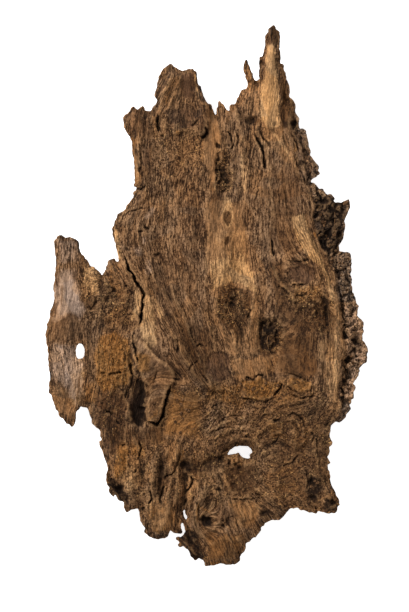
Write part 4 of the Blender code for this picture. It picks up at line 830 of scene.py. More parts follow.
# Fine coloured lines: half width in millimetres, strength, then points
STREAKS = {
    "tan": [
        (1.0, 0.8, 157, 122, 160, 108, 166, 96, 172, 84, 178, 74),
        (0.7, 0.7, 162, 116, 168, 102, 175, 88),
        (1.1, 0.8, 154, 112, 155, 124, 157, 136),
        (1.0, 0.7, 178, 104, 186, 102, 194, 105, 199, 112),
        (0.9, 1.0, 272, 262, 276, 272, 281, 283, 288, 292, 297, 299),
        (1.3, 0.75, 146, 275, 155, 300, 165, 322, 184, 354, 203, 384),
        (0.9, 0.9, 208, 386, 222, 388.5, 240, 392),
        (1.1, 0.9, 216, 468, 221, 468, 224, 476, 228, 489),
        (1.6, 0.9, 253, 500, 262, 509),
        (1.6, 0.8, 322, 436, 323, 470, 322, 494),
        (0.9, 0.9, 318, 498, 326, 496, 335, 489),
        (1.0, 0.9, 330, 402, 334, 410, 337, 418),
        (1.1, 0.8, 222, 463, 232, 460, 241, 461, 248, 464),
        (0.6, 0.5, 212, 118, 222, 116, 224, 132),
        (0.8, 0.6, 266, 176, 270, 205, 269, 232),
        (0.8, 0.6, 284, 176, 286, 205, 289, 225),
        (1.2, 0.8, 304, 210, 308, 226, 310, 240),
        (0.8, 0.6, 161, 190, 162, 202, 172, 206, 178, 222),
        (0.8, 0.5, 208, 300, 210, 325, 216, 345),
        (0.7, 0.6, 305, 328, 310, 338, 308, 350),
        (0.9, 0.5, 150, 445, 156, 470, 154, 500),
        (1.0, 0.6, 164, 490, 166, 505, 162, 520),
        (0.9, 0.6, 176, 452, 174, 462, 180, 480),
        (0.8, 0.6, 120, 300, 120, 312),
    ],
    "pale": [
        (0.9, 0.9, 195, 71, 196, 86, 197, 99),
        (0.8, 0.6, 131, 118, 131.5, 128),
        (0.7, 0.6, 140, 112, 141, 127),
        (0.6, 0.8, 149, 186, 160, 181, 168, 176.5, 178, 173),
        (1.7, 0.8, 298, 226, 306, 240, 316, 253, 322, 266, 327, 280, 331, 296, 333, 314),
        (1.4, 0.7, 334, 320, 335, 345, 334, 370, 335, 400),
        (0.8, 0.9, 324, 372, 328, 385, 331, 400),
        (0.9, 0.9, 240, 150, 242, 165, 243, 182),
        (0.6, 0.8, 244, 184, 245, 194),
        (0.9, 0.9, 137, 283, 144, 293, 150, 301),
        (0.9, 0.8, 114, 229, 118, 244, 122, 257),
        (1.2, 1.0, 316, 208, 320, 208),
        (0.7, 0.9, 231, 249, 232, 266),
        (0.6, 0.8, 234.5, 246, 236, 264),
        (0.8, 1.0, 239, 250, 240, 266),
        (0.7, 0.9, 243, 252, 244.5, 270),
        (0.7, 0.9, 247, 258, 249.5, 276),
        (0.8, 1.0, 251, 268, 254, 284, 256.5, 292),
        (0.9, 0.9, 292, 286, 298, 289, 304, 287, 311, 286),
        (0.9, 0.8, 297, 293, 303, 291),
        (0.8, 0.8, 286, 294, 292, 299, 299, 300),
        (0.6, 0.9, 215, 183, 216, 190),
        (0.7, 0.7, 281, 140, 290, 156),
        (0.5, 0.7, 113, 318, 112, 327, 106, 327),
        (0.6, 0.6, 120, 300, 116, 306),
        (0.7, 0.8, 300, 290, 308, 289),
        (0.6, 0.5, 295, 281, 288, 287),
        (0.9, 0.7, 140, 496, 143, 490),
        (0.8, 0.7, 270, 128, 282, 146, 296, 164),
        (0.6, 0.8, 201, 360, 207, 357),
        (0.5, 0.5, 199, 352, 206, 353),
        (0.6, 0.8, 326, 504, 330, 500),
        (0.6, 0.8, 333, 507, 336, 503),
        (0.5, 0.7, 326, 509, 331, 510),
        (0.7, 0.8, 256, 503, 261, 509),
        # Painted glints:
        (0.7, 0.8, 266, 496, 268, 490),
        (0.7, 0.8, 271, 494, 274, 489),
        (0.8, 0.7, 296, 218, 300, 226),
        # Painted highlight on the black lumps of the lower left tip:
        (0.6, 0.6, 182, 540, 187, 545),
        (1.5, 0.5, 272, 431, 279, 431),
        (1.4, 0.4, 289, 430, 296, 434),
        # Painted highlights on the lumps of the lower left lobe:
        (1.2, 0.5, 122, 470, 125, 484, 131, 494),
        (0.8, 0.6, 128, 474, 133, 488),
        (0.5, 0.6, 110, 482, 114, 486),
        (0.5, 0.6, 118, 490, 121, 495),
        # Painted highlights on the black lumps of the lower left tip:
        (0.5, 0.6, 190, 548, 193, 554),
        (0.5, 0.5, 186, 536, 192, 540),
        (0.5, 0.7, 322, 500, 326, 498),
        (0.5, 0.7, 335, 510, 337, 507),
    ],
    "ochre": [
        (1.1, 0.9, 176, 132, 180, 134),
        (0.8, 0.7, 165, 108, 168, 96, 172, 90),
        (0.9, 0.7, 112, 262, 110, 288),
        (0.9, 0.9, 295, 143, 295, 154),
        (0.9, 0.9, 314, 232, 317, 240),
        (0.9, 0.8, 178, 450, 183, 452, 180, 470),
        (1.2, 0.8, 150, 528, 160, 532, 166, 524),
        (1.1, 0.9, 206, 564, 214, 563, 226, 562, 236, 561),
        (1.0, 0.7, 199, 500, 197, 512, 198, 524),
        (0.8, 0.6, 196, 505, 205, 509, 214, 514),
        (1.1, 0.7, 146, 421, 152, 416, 160, 412),
    ],
    "umber": [
        (1.3, 0.6, 150, 118, 151, 140, 150, 175, 148, 186),
        (1.1, 0.5, 201, 200, 200, 240, 203, 275),
        (1.2, 0.4, 186, 204, 187, 250, 183, 290),
        (1.2, 0.5, 250, 200, 252, 240, 256, 262),
        (1.2, 0.5, 262, 180, 262, 215, 264, 250),
        (1.4, 0.6, 235, 130, 236, 160, 234, 190),
        (1.0, 0.5, 308, 222, 309, 240, 318, 256),
        (1.3, 0.8, 313, 206, 312, 220, 316, 236),
        (1.0, 0.4, 148, 400, 150, 384, 156, 366),
        (1.2, 0.7, 166, 186, 158, 192, 146, 200, 132, 208),
        (1.4, 0.6, 283, 130, 290, 134, 300, 148),
        (1.2, 0.5, 276, 140, 286, 158, 296, 176),
    ],
}

# The stage, in metres, and the camera's sensor in millimetres
FLOOR_HALF_WIDTH = 3.0
FLOOR_CLEARANCE = 0.0002
KEY_PLACE = (-0.75, 0.8, 0.9)
KEY_SIZE = 0.5
CAMERA_REACH = 20.0
SENSOR = 36.0
FIBRE_GROUND = [(60, 60), (360, 60), (360, 420), (230, 400), (150, 400), (60, 400)]
CRUMB_GROUND = (CRUMBLED, CORK_SIDE)


def clipped(value):
    return np.clip(value, 0.0, 1.0)


def ease(value):
    """A smooth step from 0 to 1, as value goes from 0 to 1."""
    v = clipped(value)
    return v * v * (3.0 - 2.0 * v)


def faded(distance, width):
    """1 at no distance and 0 from a width on."""
    return 1.0 - ease(distance / width)


def pixel_size():
    """How many millimetres one pixel of the picture stands for."""
    return bpy.context.scene.bark_form.length / MM / (PICTURE_BOTTOM - PICTURE_TOP)


def plan(points):
    """Picture points as millimetres in plan, x to the right and y up the picture."""
    scale = pixel_size()
    p = np.array(points, float).reshape(-1, 2)
    return np.column_stack(((p[:, 0] - PICTURE_MIDDLE_X) * scale, (PICTURE_MIDDLE_Y - p[:, 1]) * scale))


def close_by(x, y, line, reach):
    """Which points lie within reach of the box round a line of plan points."""
    low = line.min(axis=0) - reach
    high = line.max(axis=0) + reach
    return np.flatnonzero((x > low[0]) & (x < high[0]) & (y > low[1]) & (y < high[1]))


def line_place(x, y, line, reach=np.inf):
    """How far each point lies from a line of plan points, and its share of the way along it.
    Points further than reach from the line's box are only said to be far away."""
    distance = np.full(len(x), np.inf)
    share = np.zeros(len(x))
    near = close_by(x, y, line, reach)
    px = x[near]
    py = y[near]
    nearest = np.full(len(near), np.inf)
    walk = np.zeros(len(near))
    lengths = np.hypot(*np.diff(line, axis=0).T)
    walked = 0.0
    for start, end, length in zip(line, line[1:], lengths):
        run = end - start
        along = clipped(((px - start[0]) * run[0] + (py - start[1]) * run[1]) / length ** 2)
        gap = np.hypot(px - start[0] - along * run[0], py - start[1] - along * run[1])
        nearer = gap < nearest
        nearest = np.where(nearer, gap, nearest)
        walk = np.where(nearer, walked + along * length, walk)
        walked += length
    distance[near] = nearest
    share[near] = walk / walked
    return distance, share


def loop_distance(x, y, loop, reach=np.inf):
    """How far each point lies from a closed line of plan points."""
    return line_place(x, y, np.vstack((loop, loop[:1])), reach)[0]


def tapered(x, y, points, width, sharpness=2, uneven=1.0):
    """1 along a line and 0 a width or two away from it, fading out towards both its ends."""
    distance, share = line_place(x, y, plan(points), 3 * width)
    ends = ease(share / TAPER) * ease((1.0 - share) / TAPER)
    reach = width * uneven * (END_WIDTH + (1.0 - END_WIDTH) * ends)
    return np.exp(-((distance / reach) ** sharpness)) * ends


def inside(x, y, area):
    """Whether each point lies within a closed area, by counting its crossings."""
    found = np.zeros(len(x), bool)
    for (x0, y0), (x1, y1) in zip(area, np.roll(area, -1, axis=0)):
        if y0 != y1:
            found ^= ((y0 > y) != (y1 > y)) & (x < (x1 - x0) * (y - y0) / (y1 - y0) + x0)
    return found


def coverage(x, y, points, softness):
    """1 within an area and 0 outside, with a smooth edge of the given width."""
    area = plan(points)
    if len(area) == 2:
        (x0, y0), (x1, y1) = area
        area = np.array(((x0, y0), (x1, y0), (x1, y1), (x0, y1)))
    near = close_by(x, y, area, softness)
    px = x[near]
    py = y[near]
    distance = loop_distance(px, py, area)
    signed = np.where(inside(px, py, area), distance, -distance)
    cover = np.zeros(len(x))
    cover[near] = ease(0.5 + signed / softness)
    return cover


def within(table, left, below, share_x, share_y):
    """Values between the cells of a table that repeats on every side."""
    right = (left + 1) % table.shape[0]
    above = (below + 1) % table.shape[1]
    low = table[left, below] * (1 - share_x) + table[right, below] * share_x
    high = table[left, above] * (1 - share_x) + table[right, above] * share_x
    return low * (1 - share_y) + high * share_y


def from_middle(x, y, cx, cy, half_x, half_y):
    """How far each point lies from an oval's middle, 1 at its rim. All but x and y are in pixels."""
    middle = plan((cx, cy))[0]
    pixel = pixel_size()
    return np.hypot((x - middle[0]) / (half_x * pixel), (y - middle[1]) / (half_y * pixel))


def hills(x, y, size, seed):
    """Smooth noise from -1 to 1, with hills about the given size apart."""
    table = np.random.default_rng(seed).uniform(-1.0, 1.0, (HILL_TABLE, HILL_TABLE))
    gx = x / size
    gy = y / size
    ix = np.floor(gx).astype(int)
    iy = np.floor(gy).astype(int)
    return within(table, ix % HILL_TABLE, iy % HILL_TABLE, ease(gx - ix), ease(gy - iy))


def plates(x, y, width, length, seed):
    """Irregular plates: how deep each point lies in its plate, from 0 at its edge, the plate's level,
    and how far the plate's own tilt lifts the point."""
    rng = np.random.default_rng(seed)
    shape = (PLATE_TABLE, PLATE_TABLE)
    jitter = rng.uniform(0.1, 0.9, (*shape, 2))
    levels = rng.uniform(-1.0, 1.0, shape)
    slopes = rng.uniform(-1.0, 1.0, (*shape, 2))
    gx = x / width + PLATE_WANDER * hills(x, y, width, seed + 1)
    gy = y / length + PLATE_WANDER * hills(x, y, width, seed + 2)
    ix = np.floor(gx).astype(int)
    iy = np.floor(gy).astype(int)
    first = np.full(len(x), np.inf)
    second = np.full(len(x), np.inf)
    level = np.zeros(len(x))
    tilt = np.zeros(len(x))
    for dx in (-1, 0, 1):
        for dy in (-1, 0, 1):
            column = (ix + dx) % PLATE_TABLE
            row = (iy + dy) % PLATE_TABLE
            off_x = ix + dx + jitter[column, row, 0] - gx
            off_y = iy + dy + jitter[column, row, 1] - gy
            gap = np.hypot(off_x, off_y)
            nearer = gap < first
            second = np.where(nearer, first, np.minimum(second, gap))
            lean = slopes[column, row, 0] * off_x + slopes[column, row, 1] * off_y
            level = np.where(nearer, levels[column, row], level)
            tilt = np.where(nearer, lean, tilt)
            first = np.where(nearer, gap, first)
    return second - first, level, tilt


def trough(x, y):
    """The slab's middle form: a shallow trough along y that rises a little at both ends."""
    form = bpy.context.scene.bark_form
    radius = np.where(x < 0, form.trough_left, form.trough_right) / MM
    return x * x / (2 * radius) + y * y / (2 * form.bow / MM)


def thickness(x, y, edge):
    """The slab's thickness under its inner face, less at the wing and at every edge."""
    form = bpy.context.scene.bark_form
    wing = coverage(x, y, WING, WING_SOFTNESS)
    full = (form.thickness + (form.wing_thickness - form.thickness) * wing) / MM
    return full * (1.0 - EDGE_THINNING * faded(edge, EDGE_WIDTH))


def wandering(x, y, share=1.0):
    """The plan with its lines made to waver, as torn and split edges do."""
    fine = WANDER_SIZE * FINE_WANDER_SIZE
    reach = WANDER * share
    dx = hills(x, y, WANDER_SIZE, 7) + FINE_WANDER * hills(x, y, fine, 9)
    dy = hills(x, y, WANDER_SIZE, 8) + FINE_WANDER * hills(x, y, fine, 10)
    return x + reach * dx, y + reach * dy


def strayed(x, y, kinds):
    """The plan pushed about by several sizes of noise."""
    dx = np.zeros(len(x))
    dy = np.zeros(len(x))
    for size, reach, seed in kinds:
        dx += reach * hills(x, y, size, seed)
        dy += reach * hills(x, y, size, seed + 1)
    return dx, dy


def strongest(x, y, areas):
    """The strength of the strongest of some areas at each point. The softer an area's edge, the
    further it strays."""
    dx, dy = strayed(x, y, AREA_WANDER)
    found = np.zeros(len(x))
    for strength, softness, *points in areas:
        stray = min(max(softness / FULLY_STRAYED, LEAST_STRAYED), 1.0)
        cover = coverage(x + stray * dx, y + stray * dy, points, softness + AREA_SOFTNESS * stray)
        found = np.maximum(found, strength * cover)
    return found


def lined(x, y, lines):
    """The strength of the strongest of some fine wavering lines at each point."""
    dx, dy = strayed(x, y, JAGS)
    found = np.zeros(len(x))
    for width, strength, *points in lines:
        found = np.maximum(found, strength * tapered(x + dx, y + dy, points, width))
    return found


def spread(x, y, places):
    """Thin-plate weights of each place at each point, then the constant and the slopes."""
    gap = (x[:, None] - places[:, 0]) ** 2 + (y[:, None] - places[:, 1]) ** 2
    return np.column_stack((gap * np.log(gap + TINY), np.ones(len(x)), x, y))


def grain_field():
    """Weights of a smooth surface through the grain lines, whose level lines are the fibres."""
    pixel = pixel_size()
    places = np.vstack([plan(points) for _, *points in GRAIN_LINES])
    values = [np.full(len(points) // 2, value * pixel) for value, *points in GRAIN_LINES]
    rows = spread(places[:, 0], places[:, 1], places)
    count = len(places)
    system = np.zeros((count + 3, count + 3))
    system[:count] = rows
    system[count:, :count] = rows[:, count:].T
    system[:count, :count] += np.eye(count) * GRAIN_SLACK
    return places, np.linalg.solve(system, np.append(np.concatenate(values), np.zeros(3)))


def across_grain(x, y):
    """Each point's place across the grain: the same all along one fibre."""
    pixel = pixel_size()
    places, weights = grain_field()
    across = np.concatenate(
        [spread(x[i:i + CHUNK], y[i:i + CHUNK], places) @ weights for i in range(0, len(x), CHUNK)]
    )
    for *centre, reach, push in GRAIN_KNOTS:
        cx, cy = plan(centre)[0]
        across += push * pixel * np.exp(-((x - cx) ** 2 + (y - cy) ** 2) / (reach * pixel) ** 2)
    return across


def terraces(height, count):
    """Turns smooth hills into flat layers with short steps between them."""
    steps = height * count
    base = np.floor(steps)
    return (base + ease((steps - base - 0.5) / TERRACE_STEP + 0.5)) / count


def stretched(across, y, width, length, seed):
    """Hills as wide as a bundle of fibre and as long as its run along the grain."""
    return hills(across, y * width / length, width, seed)


def fibres(across, y):
    """Bundles of fibre and thin torn layers that follow the grain."""
    bundles = 1.0 - 2.0 * np.abs(stretched(across, y, FIBRE_WIDTH, FIBRE_LENGTH, 51))
    layers = stretched(across, y, TERRACE_WIDTH, TERRACE_LENGTH, 52)
    layers += 0.5 * hills(across, y * TERRACE_WIDTH / TERRACE_LENGTH, TERRACE_WIDTH * 0.4, 53)
    return FIBRE_RISE * bundles + TERRACE_RISE * TERRACE_COUNT * terraces(layers, TERRACE_COUNT)


def splits(across, y):
    """Thin gaps that open between fibres and close again: 1 in a gap and 0 outside it."""
    gaps = np.zeros(len(y))
    for width, length, thin, seed in SPLIT_KINDS:
        here = stretched(across, y, width, length, seed)
        beside = stretched(across + thin, y, width, length, seed)
        slope = np.abs(beside - here) * width / thin
        line = np.abs(here) * width / np.maximum(slope, 0.5)
        rarity = stretched(across, y, 2 * width, length, seed + 1) - SPLIT_RARITY
        where = ease(SPLIT_SHARPNESS * rarity)
        gaps = np.maximum(gaps, faded(line, thin) * where * ease(slope - 0.9))
    return gaps


def flakes(across, y):
    """Thin plates of fibre with their ends torn loose: their height, level, and the gaps round them."""
    sway = FLAKE_WIDTH * 0.5
    depth, level, tilt = plates(
        across + sway * hills(across, y, FLAKE_WIDTH, 107),
        y + 3 * sway * hills(across, y, FLAKE_WIDTH * 0.6, 108),
        FLAKE_WIDTH, FLAKE_LENGTH, 106,
    )
    gaps = faded(depth, FLAKE_GAP) * ease(1.5 * hills(across, y, FLAKE_LENGTH, 109) + 0.2)
    return FLAKE_RISE * (level + FLAKE_TILT * tilt - gaps), level, gaps


def fine_fibres(across, y):
    """Single fibres, small torn layers and the gaps between them."""
    height = np.zeros(len(y))
    for width, length, rise, seed in FINE_FIBRES:
        height += rise * (1.0 - 2.0 * np.abs(stretched(across, y, width, length, seed)))
    layers = stretched(across, y, FINE_LAYER_WIDTH, FINE_LAYER_LENGTH, 74)
    height += FINE_LAYER_RISE * terraces(layers, FINE_LAYER_COUNT)
    return height


def crumbs(x, y):
    """The broken cork of the lower third: lumps of every size with gaps between some of them."""
    sway = CRUMB_SIZE * 0.5
    dx, dy = strayed(x, y, ((CRUMB_SIZE * 0.7, sway, 62),))
    depth, level, _ = plates(x + dx, y + dy, CRUMB_SIZE, CRUMB_SIZE, 61)
    gaps = faded(depth, CRUMB_GAP) * ease(hills(x, y, CRUMB_SIZE * 1.5, 64) * 2.0 - 0.3)
    lumps = hills(x, y, CRUMB_SIZE * 0.6, 65) + 0.6 * np.abs(hills(x, y, CRUMB_SIZE * 0.3, 66))
    swirl = hills(x + sway * level, y, SWIRL_SIZE, 67) + 0.5 * hills(x, y, SWIRL_SIZE * 0.4, 68)
    return CRUMB_RISE * (0.5 * level + lumps - gaps) + SWIRL_RISE * terraces(swirl, SWIRL_COUNT)


def fine_crumbs(x, y):
    """Small crumbs of cork, and how open the gaps between them are."""
    sway = FINE_CRUMB_SIZE * 0.8
    dx, dy = strayed(x, y, ((FINE_CRUMB_SIZE, sway, 76),))
    depth, level, tilt = plates(x + dx, y + dy, FINE_CRUMB_SIZE, FINE_CRUMB_SIZE * 0.8, 75)
    gaps = faded(depth, FINE_CRUMB_GAP) * ease(hills(x, y, FINE_CRUMB_SIZE * 2.5, 78) * 2.5)
    lumps = hills(x, y, FINE_CRUMB_SIZE * 0.4, 79) + 0.5 * hills(x, y, FINE_CRUMB_SIZE * 0.22, 80)
    return FINE_CRUMB_RISE * (0.6 * level + 0.8 * tilt + lumps - 2.2 * gaps), gaps


def broken(x, y):
    """How much of each point has crumbled, and how smooth it is, both from 0 to 1."""
    crumbled = CRUMBLED_SHARE * coverage(x, y, CRUMBLED, CRUMBLED_SOFTNESS)
    return np.maximum(crumbled, strongest(x, y, ROUGH)), strongest(x, y, CALM)


def inner_relief(x, y):
    """Height of the layers, ridges, cracks, knots and hollows over the trough's own surface,
    and how much of a crack or gap each point lies in."""
    height = UNDULATION * hills(x, y * 0.6, UNDULATION_SIZE, 11)
    height += LUMPS * hills(x * 1.3, y * 0.6, LUMP_SIZE, 12)
    grain_x, grain_y = wandering(x, y, GRAIN_WANDER)
    dx, dy = strayed(x, y, JAGS)
    crumbled, calm = broken(x, y)
    across = across_grain(grain_x, grain_y)
    small, gaps = fine_crumbs(x, y)
    flake, _, loose = flakes(across, grain_y)
    gaps = (gaps * crumbled + 0.7 * loose * (1.0 - crumbled)) * (1.0 - calm)
    torn = splits(across, grain_y) * (1.0 - 0.6 * crumbled) * (1.0 - calm)
    fine = (fine_fibres(across, grain_y) + flake) * (1.0 - 0.3 * crumbled) + small * crumbled
    bundles = fibres(across, grain_y) * (1.0 - 0.5 * crumbled) * (1.0 - 0.4 * calm)
    height += bundles + crumbs(x, y) * crumbled
    height += fine * (1.0 - 0.8 * calm) - SPLIT_DEPTH * torn
    wide_x, wide_y = wandering(x, y, 0.8)
    near_x = wide_x + dx
    near_y = wide_y + dy
    size, least, more, seed = UNEVEN
    uneven = least + more * (0.5 + 0.5 * hills(x, y, size, seed))
    for lift, step, *points in LAYERS:
        height += lift * coverage(near_x, near_y, points, step)
    for width, rise, *points in RIDGES:
        height += rise * tapered(near_x, near_y, points, width)
    ragged = RAGGED * hills(x, y, RAGGED_SIZE, 129)
    for *oval, rise in BUMPS:
        height += rise * np.exp(-(np.abs(from_middle(near_x, near_y, *oval) + ragged) ** 3))
    crack = np.zeros(len(x))
    for width, depth, *points in CRACKS:
        line = tapered(grain_x + dx, grain_y + dy, points, width, CRACK_SQUARENESS, uneven)
        height -= depth * line
        crack = np.maximum(crack, line * ease(depth / BLACK_DEPTH))
    return height, np.maximum(crack, np.maximum(0.5 * torn, 0.6 * gaps))


def cork_beyond(x, y):
    """How much of a point belongs to the broken cork at the right, and that cork's relief."""
    wx, wy = wandering(x, y, 0.6)
    dx, dy = strayed(x, y, JAGS)
    share = coverage(wx + dx, wy + dy, CORK_SIDE, CORK_STEP_WIDTH)
    bend_x, bend_y = strayed(x, y, ((BLOCK_SWAY * 1.6, BLOCK_SWAY, 43),))
    bent_x = wx + bend_x
    bent_y = wy + bend_y
    depth, level, tilt = plates(bent_x, bent_y, BLOCK_WIDTH, BLOCK_LENGTH, 41)
    relief = BLOCK_DEPTH * (ease(depth / BLOCK_GAP) - 0.75) + BLOCK_LEVEL * level + BLOCK_TILT * tilt
    layers = hills(bent_x * 1.6, bent_y * 0.6, BLOCK_WIDTH, 46) + 0.4 * hills(x, y, BLOCK_SWAY, 47)
    relief += CORK_LAYER_RISE * terraces(layers, CORK_LAYER_COUNT)
    small, fine_level, fine_tilt = plates(wx + dx, wy + dy, FINE_BLOCK_SIZE * 0.8, FINE_BLOCK_SIZE, 82)
    relief += FINE_BLOCK_RISE * (ease(small / BLOCK_GAP) + 0.8 * fine_level + 1.5 * fine_tilt)
    relief += FINE_BLOCK_RISE * hills(x, y, FINE_BLOCK_SIZE * 0.4, 85)
    for *oval, gap in CORK_GAPS:
        radius = from_middle(wx + dx, wy + dy, *oval) + 0.3 * fine_level + 0.2 * level
        relief -= gap * np.exp(-(np.maximum(radius, 0.0) ** 3))
    return share, relief - CORK_DROP


def top_height(x, y, edge):
    """Height of the inner face over the floor, and how much of a crack each point lies in."""
    share, cork = cork_beyond(x, y)
    relief, crack = inner_relief(x, y)
    body = trough(x, y) + FLOOR_GAP + thickness(x, y, edge)
    return body + relief * (1.0 - share) + cork * share, crack * (1.0 - share)


def bottom_height(x, y, edge):
    """The outer bark: long plates with furrows between them, and the plates rubbed flat at the floor."""
    depth, level, _ = plates(x, y, PLATE_WIDTH, PLATE_LENGTH, 23)
    furrow = faded(depth, FURROW_WIDTH) * (0.65 + 0.35 * hills(x, y, PLATE_WIDTH, 31))
    relief = FURROW_DEPTH * furrow + PLATE_STEP * level
    relief += PLATE_LUMPS * hills(x, y, PLATE_WIDTH * 0.6, 32)
    small, fine_level, _ = plates(x, y, FINE_PLATE_WIDTH, FINE_PLATE_LENGTH, 86)
    relief += FINE_PLATE_RISE * (faded(small, FINE_FURROW_WIDTH) + 0.5 * fine_level)
    relief += FINE_PLATE_RISE * 0.6 * hills(x, y, FINE_PLATE_WIDTH * 0.4, 89)
    form = bpy.context.scene.bark_form
    relief *= 1.0 - (1.0 - form.wing_thickness / form.thickness) * coverage(x, y, WING, WING_SOFTNESS)
    height = trough(x, y) + FLOOR_GAP + relief
    height += RIM_RISE * faded(edge, EDGE_WIDTH)
    for *middle, half_x, half_y in FEET:
        cx, cy = plan(middle)[0]
        reach = np.hypot((x - cx) / half_x, (y - cy) / half_y)
        rise = clipped((reach - 1.0) * half_x / FOOT_BLEND)
        height *= rise * (2.0 - rise)
    return np.maximum(height, 0.0)


def edge_distance(x, y):
    """How far each point lies inside the outline and holes, up to where the edge has no effect."""
    edge = np.full(len(x), np.inf)
    for loop in LOOPS:
        edge = np.minimum(edge, loop_distance(x, y, plan(loop), EDGE_WIDTH))
    return edge


def ragged_loop(points, seed):
    """A closed outline with its corners broken up into small nicks."""
    corners = plan(points)
    closed = np.vstack((corners, corners[:1]))
    runs = np.hypot(*np.diff(closed, axis=0).T)
    walked = np.concatenate(([0.0], np.cumsum(runs)))
    steps = np.linspace(0.0, walked[-1], int(walked[-1] / NICK_STEP), endpoint=False)
    x = np.interp(steps, walked, closed[:, 0])
    y = np.interp(steps, walked, closed[:, 1])
    for size, reach in NICKS:
        x = x + reach * hills(x, y, size, seed)
        y = y + reach * hills(x, y, size, seed + 1)
    return np.column_stack((x, y))


def flat_blank():
    """The slab's plan as a flat plate with its three holes."""
    curve = bpy.data.curves.new("slab_plan", "CURVE")
    curve.dimensions = "2D"
    curve.fill_mode = "BOTH"
    curve.extrude = BLANK_THICKNESS * MM / 2
    for loop in LOOPS:
        corners = ragged_loop(loop, 91) * MM
        spline = curve.splines.new("POLY")
        spline.points.add(len(corners) - 1)
        flat = np.column_stack((corners, np.zeros(len(corners)), np.ones(len(corners))))
        spline.points.foreach_set("co", flat.ravel())
        spline.use_cyclic_u = True
    guide = bpy.data.objects.new("slab_plan", curve)
    bpy.context.scene.collection.objects.link(guide)
    mesh = bpy.data.meshes.new_from_object(guide.evaluated_get(bpy.context.evaluated_depsgraph_get()))
    bpy.data.objects.remove(guide, do_unlink=True)
    cage = bmesh.new()
    cage.from_mesh(mesh)
    bmesh.ops.remove_doubles(cage, verts=cage.verts, dist=WELD)
    cage.to_mesh(mesh)
    cage.free()
    return mesh


def applied(piece):
    """Bakes a piece's modifiers into its mesh."""
    evaluated = piece.evaluated_get(bpy.context.evaluated_depsgraph_get())
    mesh = bpy.data.meshes.new_from_object(evaluated)
    piece.modifiers.clear()
    old = piece.data
    piece.data = mesh
    bpy.data.meshes.remove(old)


def remeshed(slab):
    grid = slab.modifiers.new("even_grid", "REMESH")
    grid.mode = "VOXEL"
    grid.voxel_size = bpy.context.scene.bark_form.voxel
    applied(slab)


def vectors(mesh, kind):
    """The mesh's points or their normals, one row each."""
    found = np.empty(len(mesh.vertices) * 3, np.float32)
    mesh.vertices.foreach_get(kind, found)
    return found.reshape(-1, 3).astype(float)


def shaped(slab):
    """Moves the blank's points onto the slab's two faces, and its rim evenly between them."""
    points = vectors(slab.data, "co") / MM
    normals = vectors(slab.data, "normal")
    share = clipped(points[:, 2] / BLANK_THICKNESS + 0.5)
    wall = ease((1.0 - np.abs(normals[:, 2])) / WALL_TURN)
    x, y = points[:, 0], points[:, 1]
    chip = np.zeros(len(x))
    for size, reach, seed in RIM_CHIPS:
        lean = size * RIM_LAYERS * share
        chip += reach * hills(x + lean, y - lean, size, seed)
    points[:, 0] += normals[:, 0] * wall * chip
    points[:, 1] += normals[:, 1] * wall * chip
    x, y = points[:, 0], points[:, 1]
    edge = edge_distance(x, y)
    low = bottom_height(x, y, edge)
    high = np.maximum(top_height(x, y, edge)[0], low + THINNEST)
    points[:, 2] = low + (high - low) * share
    slab.data.vertices.foreach_set("co", (points * MM).astype(np.float32).ravel())
    slab.data.update()
    return share < BELOW


def collapsed(slab, ratio, group=""):
    fewer = slab.modifiers.new("fewer_triangles", "DECIMATE")
    fewer.decimate_type = "COLLAPSE"
    fewer.ratio = ratio
    fewer.vertex_group = group
    fewer.use_collapse_triangulate = True
    applied(slab)


def reduced(slab, below):
    """Fewer triangles, with more of them where the surface turns, and few of them below."""
    wanted = bpy.context.scene.bark_form.triangles
    under = slab.vertex_groups.new(name="outer_bark")
    under.add(np.flatnonzero(below).tolist(), 1.0, "REPLACE")
    faces = sum(len(face.vertices) - 2 for face in slab.data.polygons)
    below_faces = 2 * np.count_nonzero(below)
    kept = faces - below_faces + wanted * UNDERSIDE_SHARE
    collapsed(slab, kept / faces, "outer_bark")
    collapsed(slab, wanted / len(slab.data.polygons))
    slab.vertex_groups.clear()


def blurred(grid, cover, radius):
    """A grid's mean over a soft disc of the given radius, counting only what lies on the slab."""
    rows = np.fft.fftfreq(grid.shape[0])[:, None]
    columns = np.fft.rfftfreq(grid.shape[1])[None, :]
    reach = radius / HOLLOW_STEP
    keep = np.exp(-2.0 * (np.pi * reach) ** 2 * (rows ** 2 + columns ** 2))
    total = np.fft.irfft2(np.fft.rfft2(grid * cover) * keep, grid.shape)
    weight = np.fft.irfft2(np.fft.rfft2(cover) * keep, grid.shape)
    return total / np.maximum(weight, LEAST_COVER)


def sampled(grid, x, y):
    """A grid's values at the given points, read between its own points."""
    gx = (x + HOLLOW_REACH[0]) / HOLLOW_STEP
    gy = (y + HOLLOW_REACH[1]) / HOLLOW_STEP
    ix = np.clip(np.floor(gx).astype(int), 0, grid.shape[0] - 2)
    iy = np.clip(np.floor(gy).astype(int), 0, grid.shape[1] - 2)
    return within(grid, ix, iy, clipped(gx - ix), clipped(gy - iy))


def hollows(x, y, above):
    """How far each point lies below its surroundings, near by and further off, in millimetres.
    Points above are read on the inner face, and the others on the outer bark, upside down."""
    columns = np.arange(-HOLLOW_REACH[0], HOLLOW_REACH[0], HOLLOW_STEP)
    rows = np.arange(-HOLLOW_REACH[1], HOLLOW_REACH[1], HOLLOW_STEP)
    gx, gy = [side.ravel() for side in np.meshgrid(columns, rows, indexing="ij")]
    shape = (len(columns), len(rows))
    cover = inside(gx, gy, plan(OUTLINE)).astype(float).reshape(shape)
    away = np.full(len(gx), np.inf)
    top = top_height(gx, gy, away)[0].reshape(shape)
    bottom = -bottom_height(gx, gy, away).reshape(shape)
    found = []
    for radius in HOLLOW_RADII:
        depths = [sampled(blurred(side, cover, radius) - side, x, y) for side in (top, bottom)]
        found.append(np.where(above, depths[0], depths[1]))
    return found


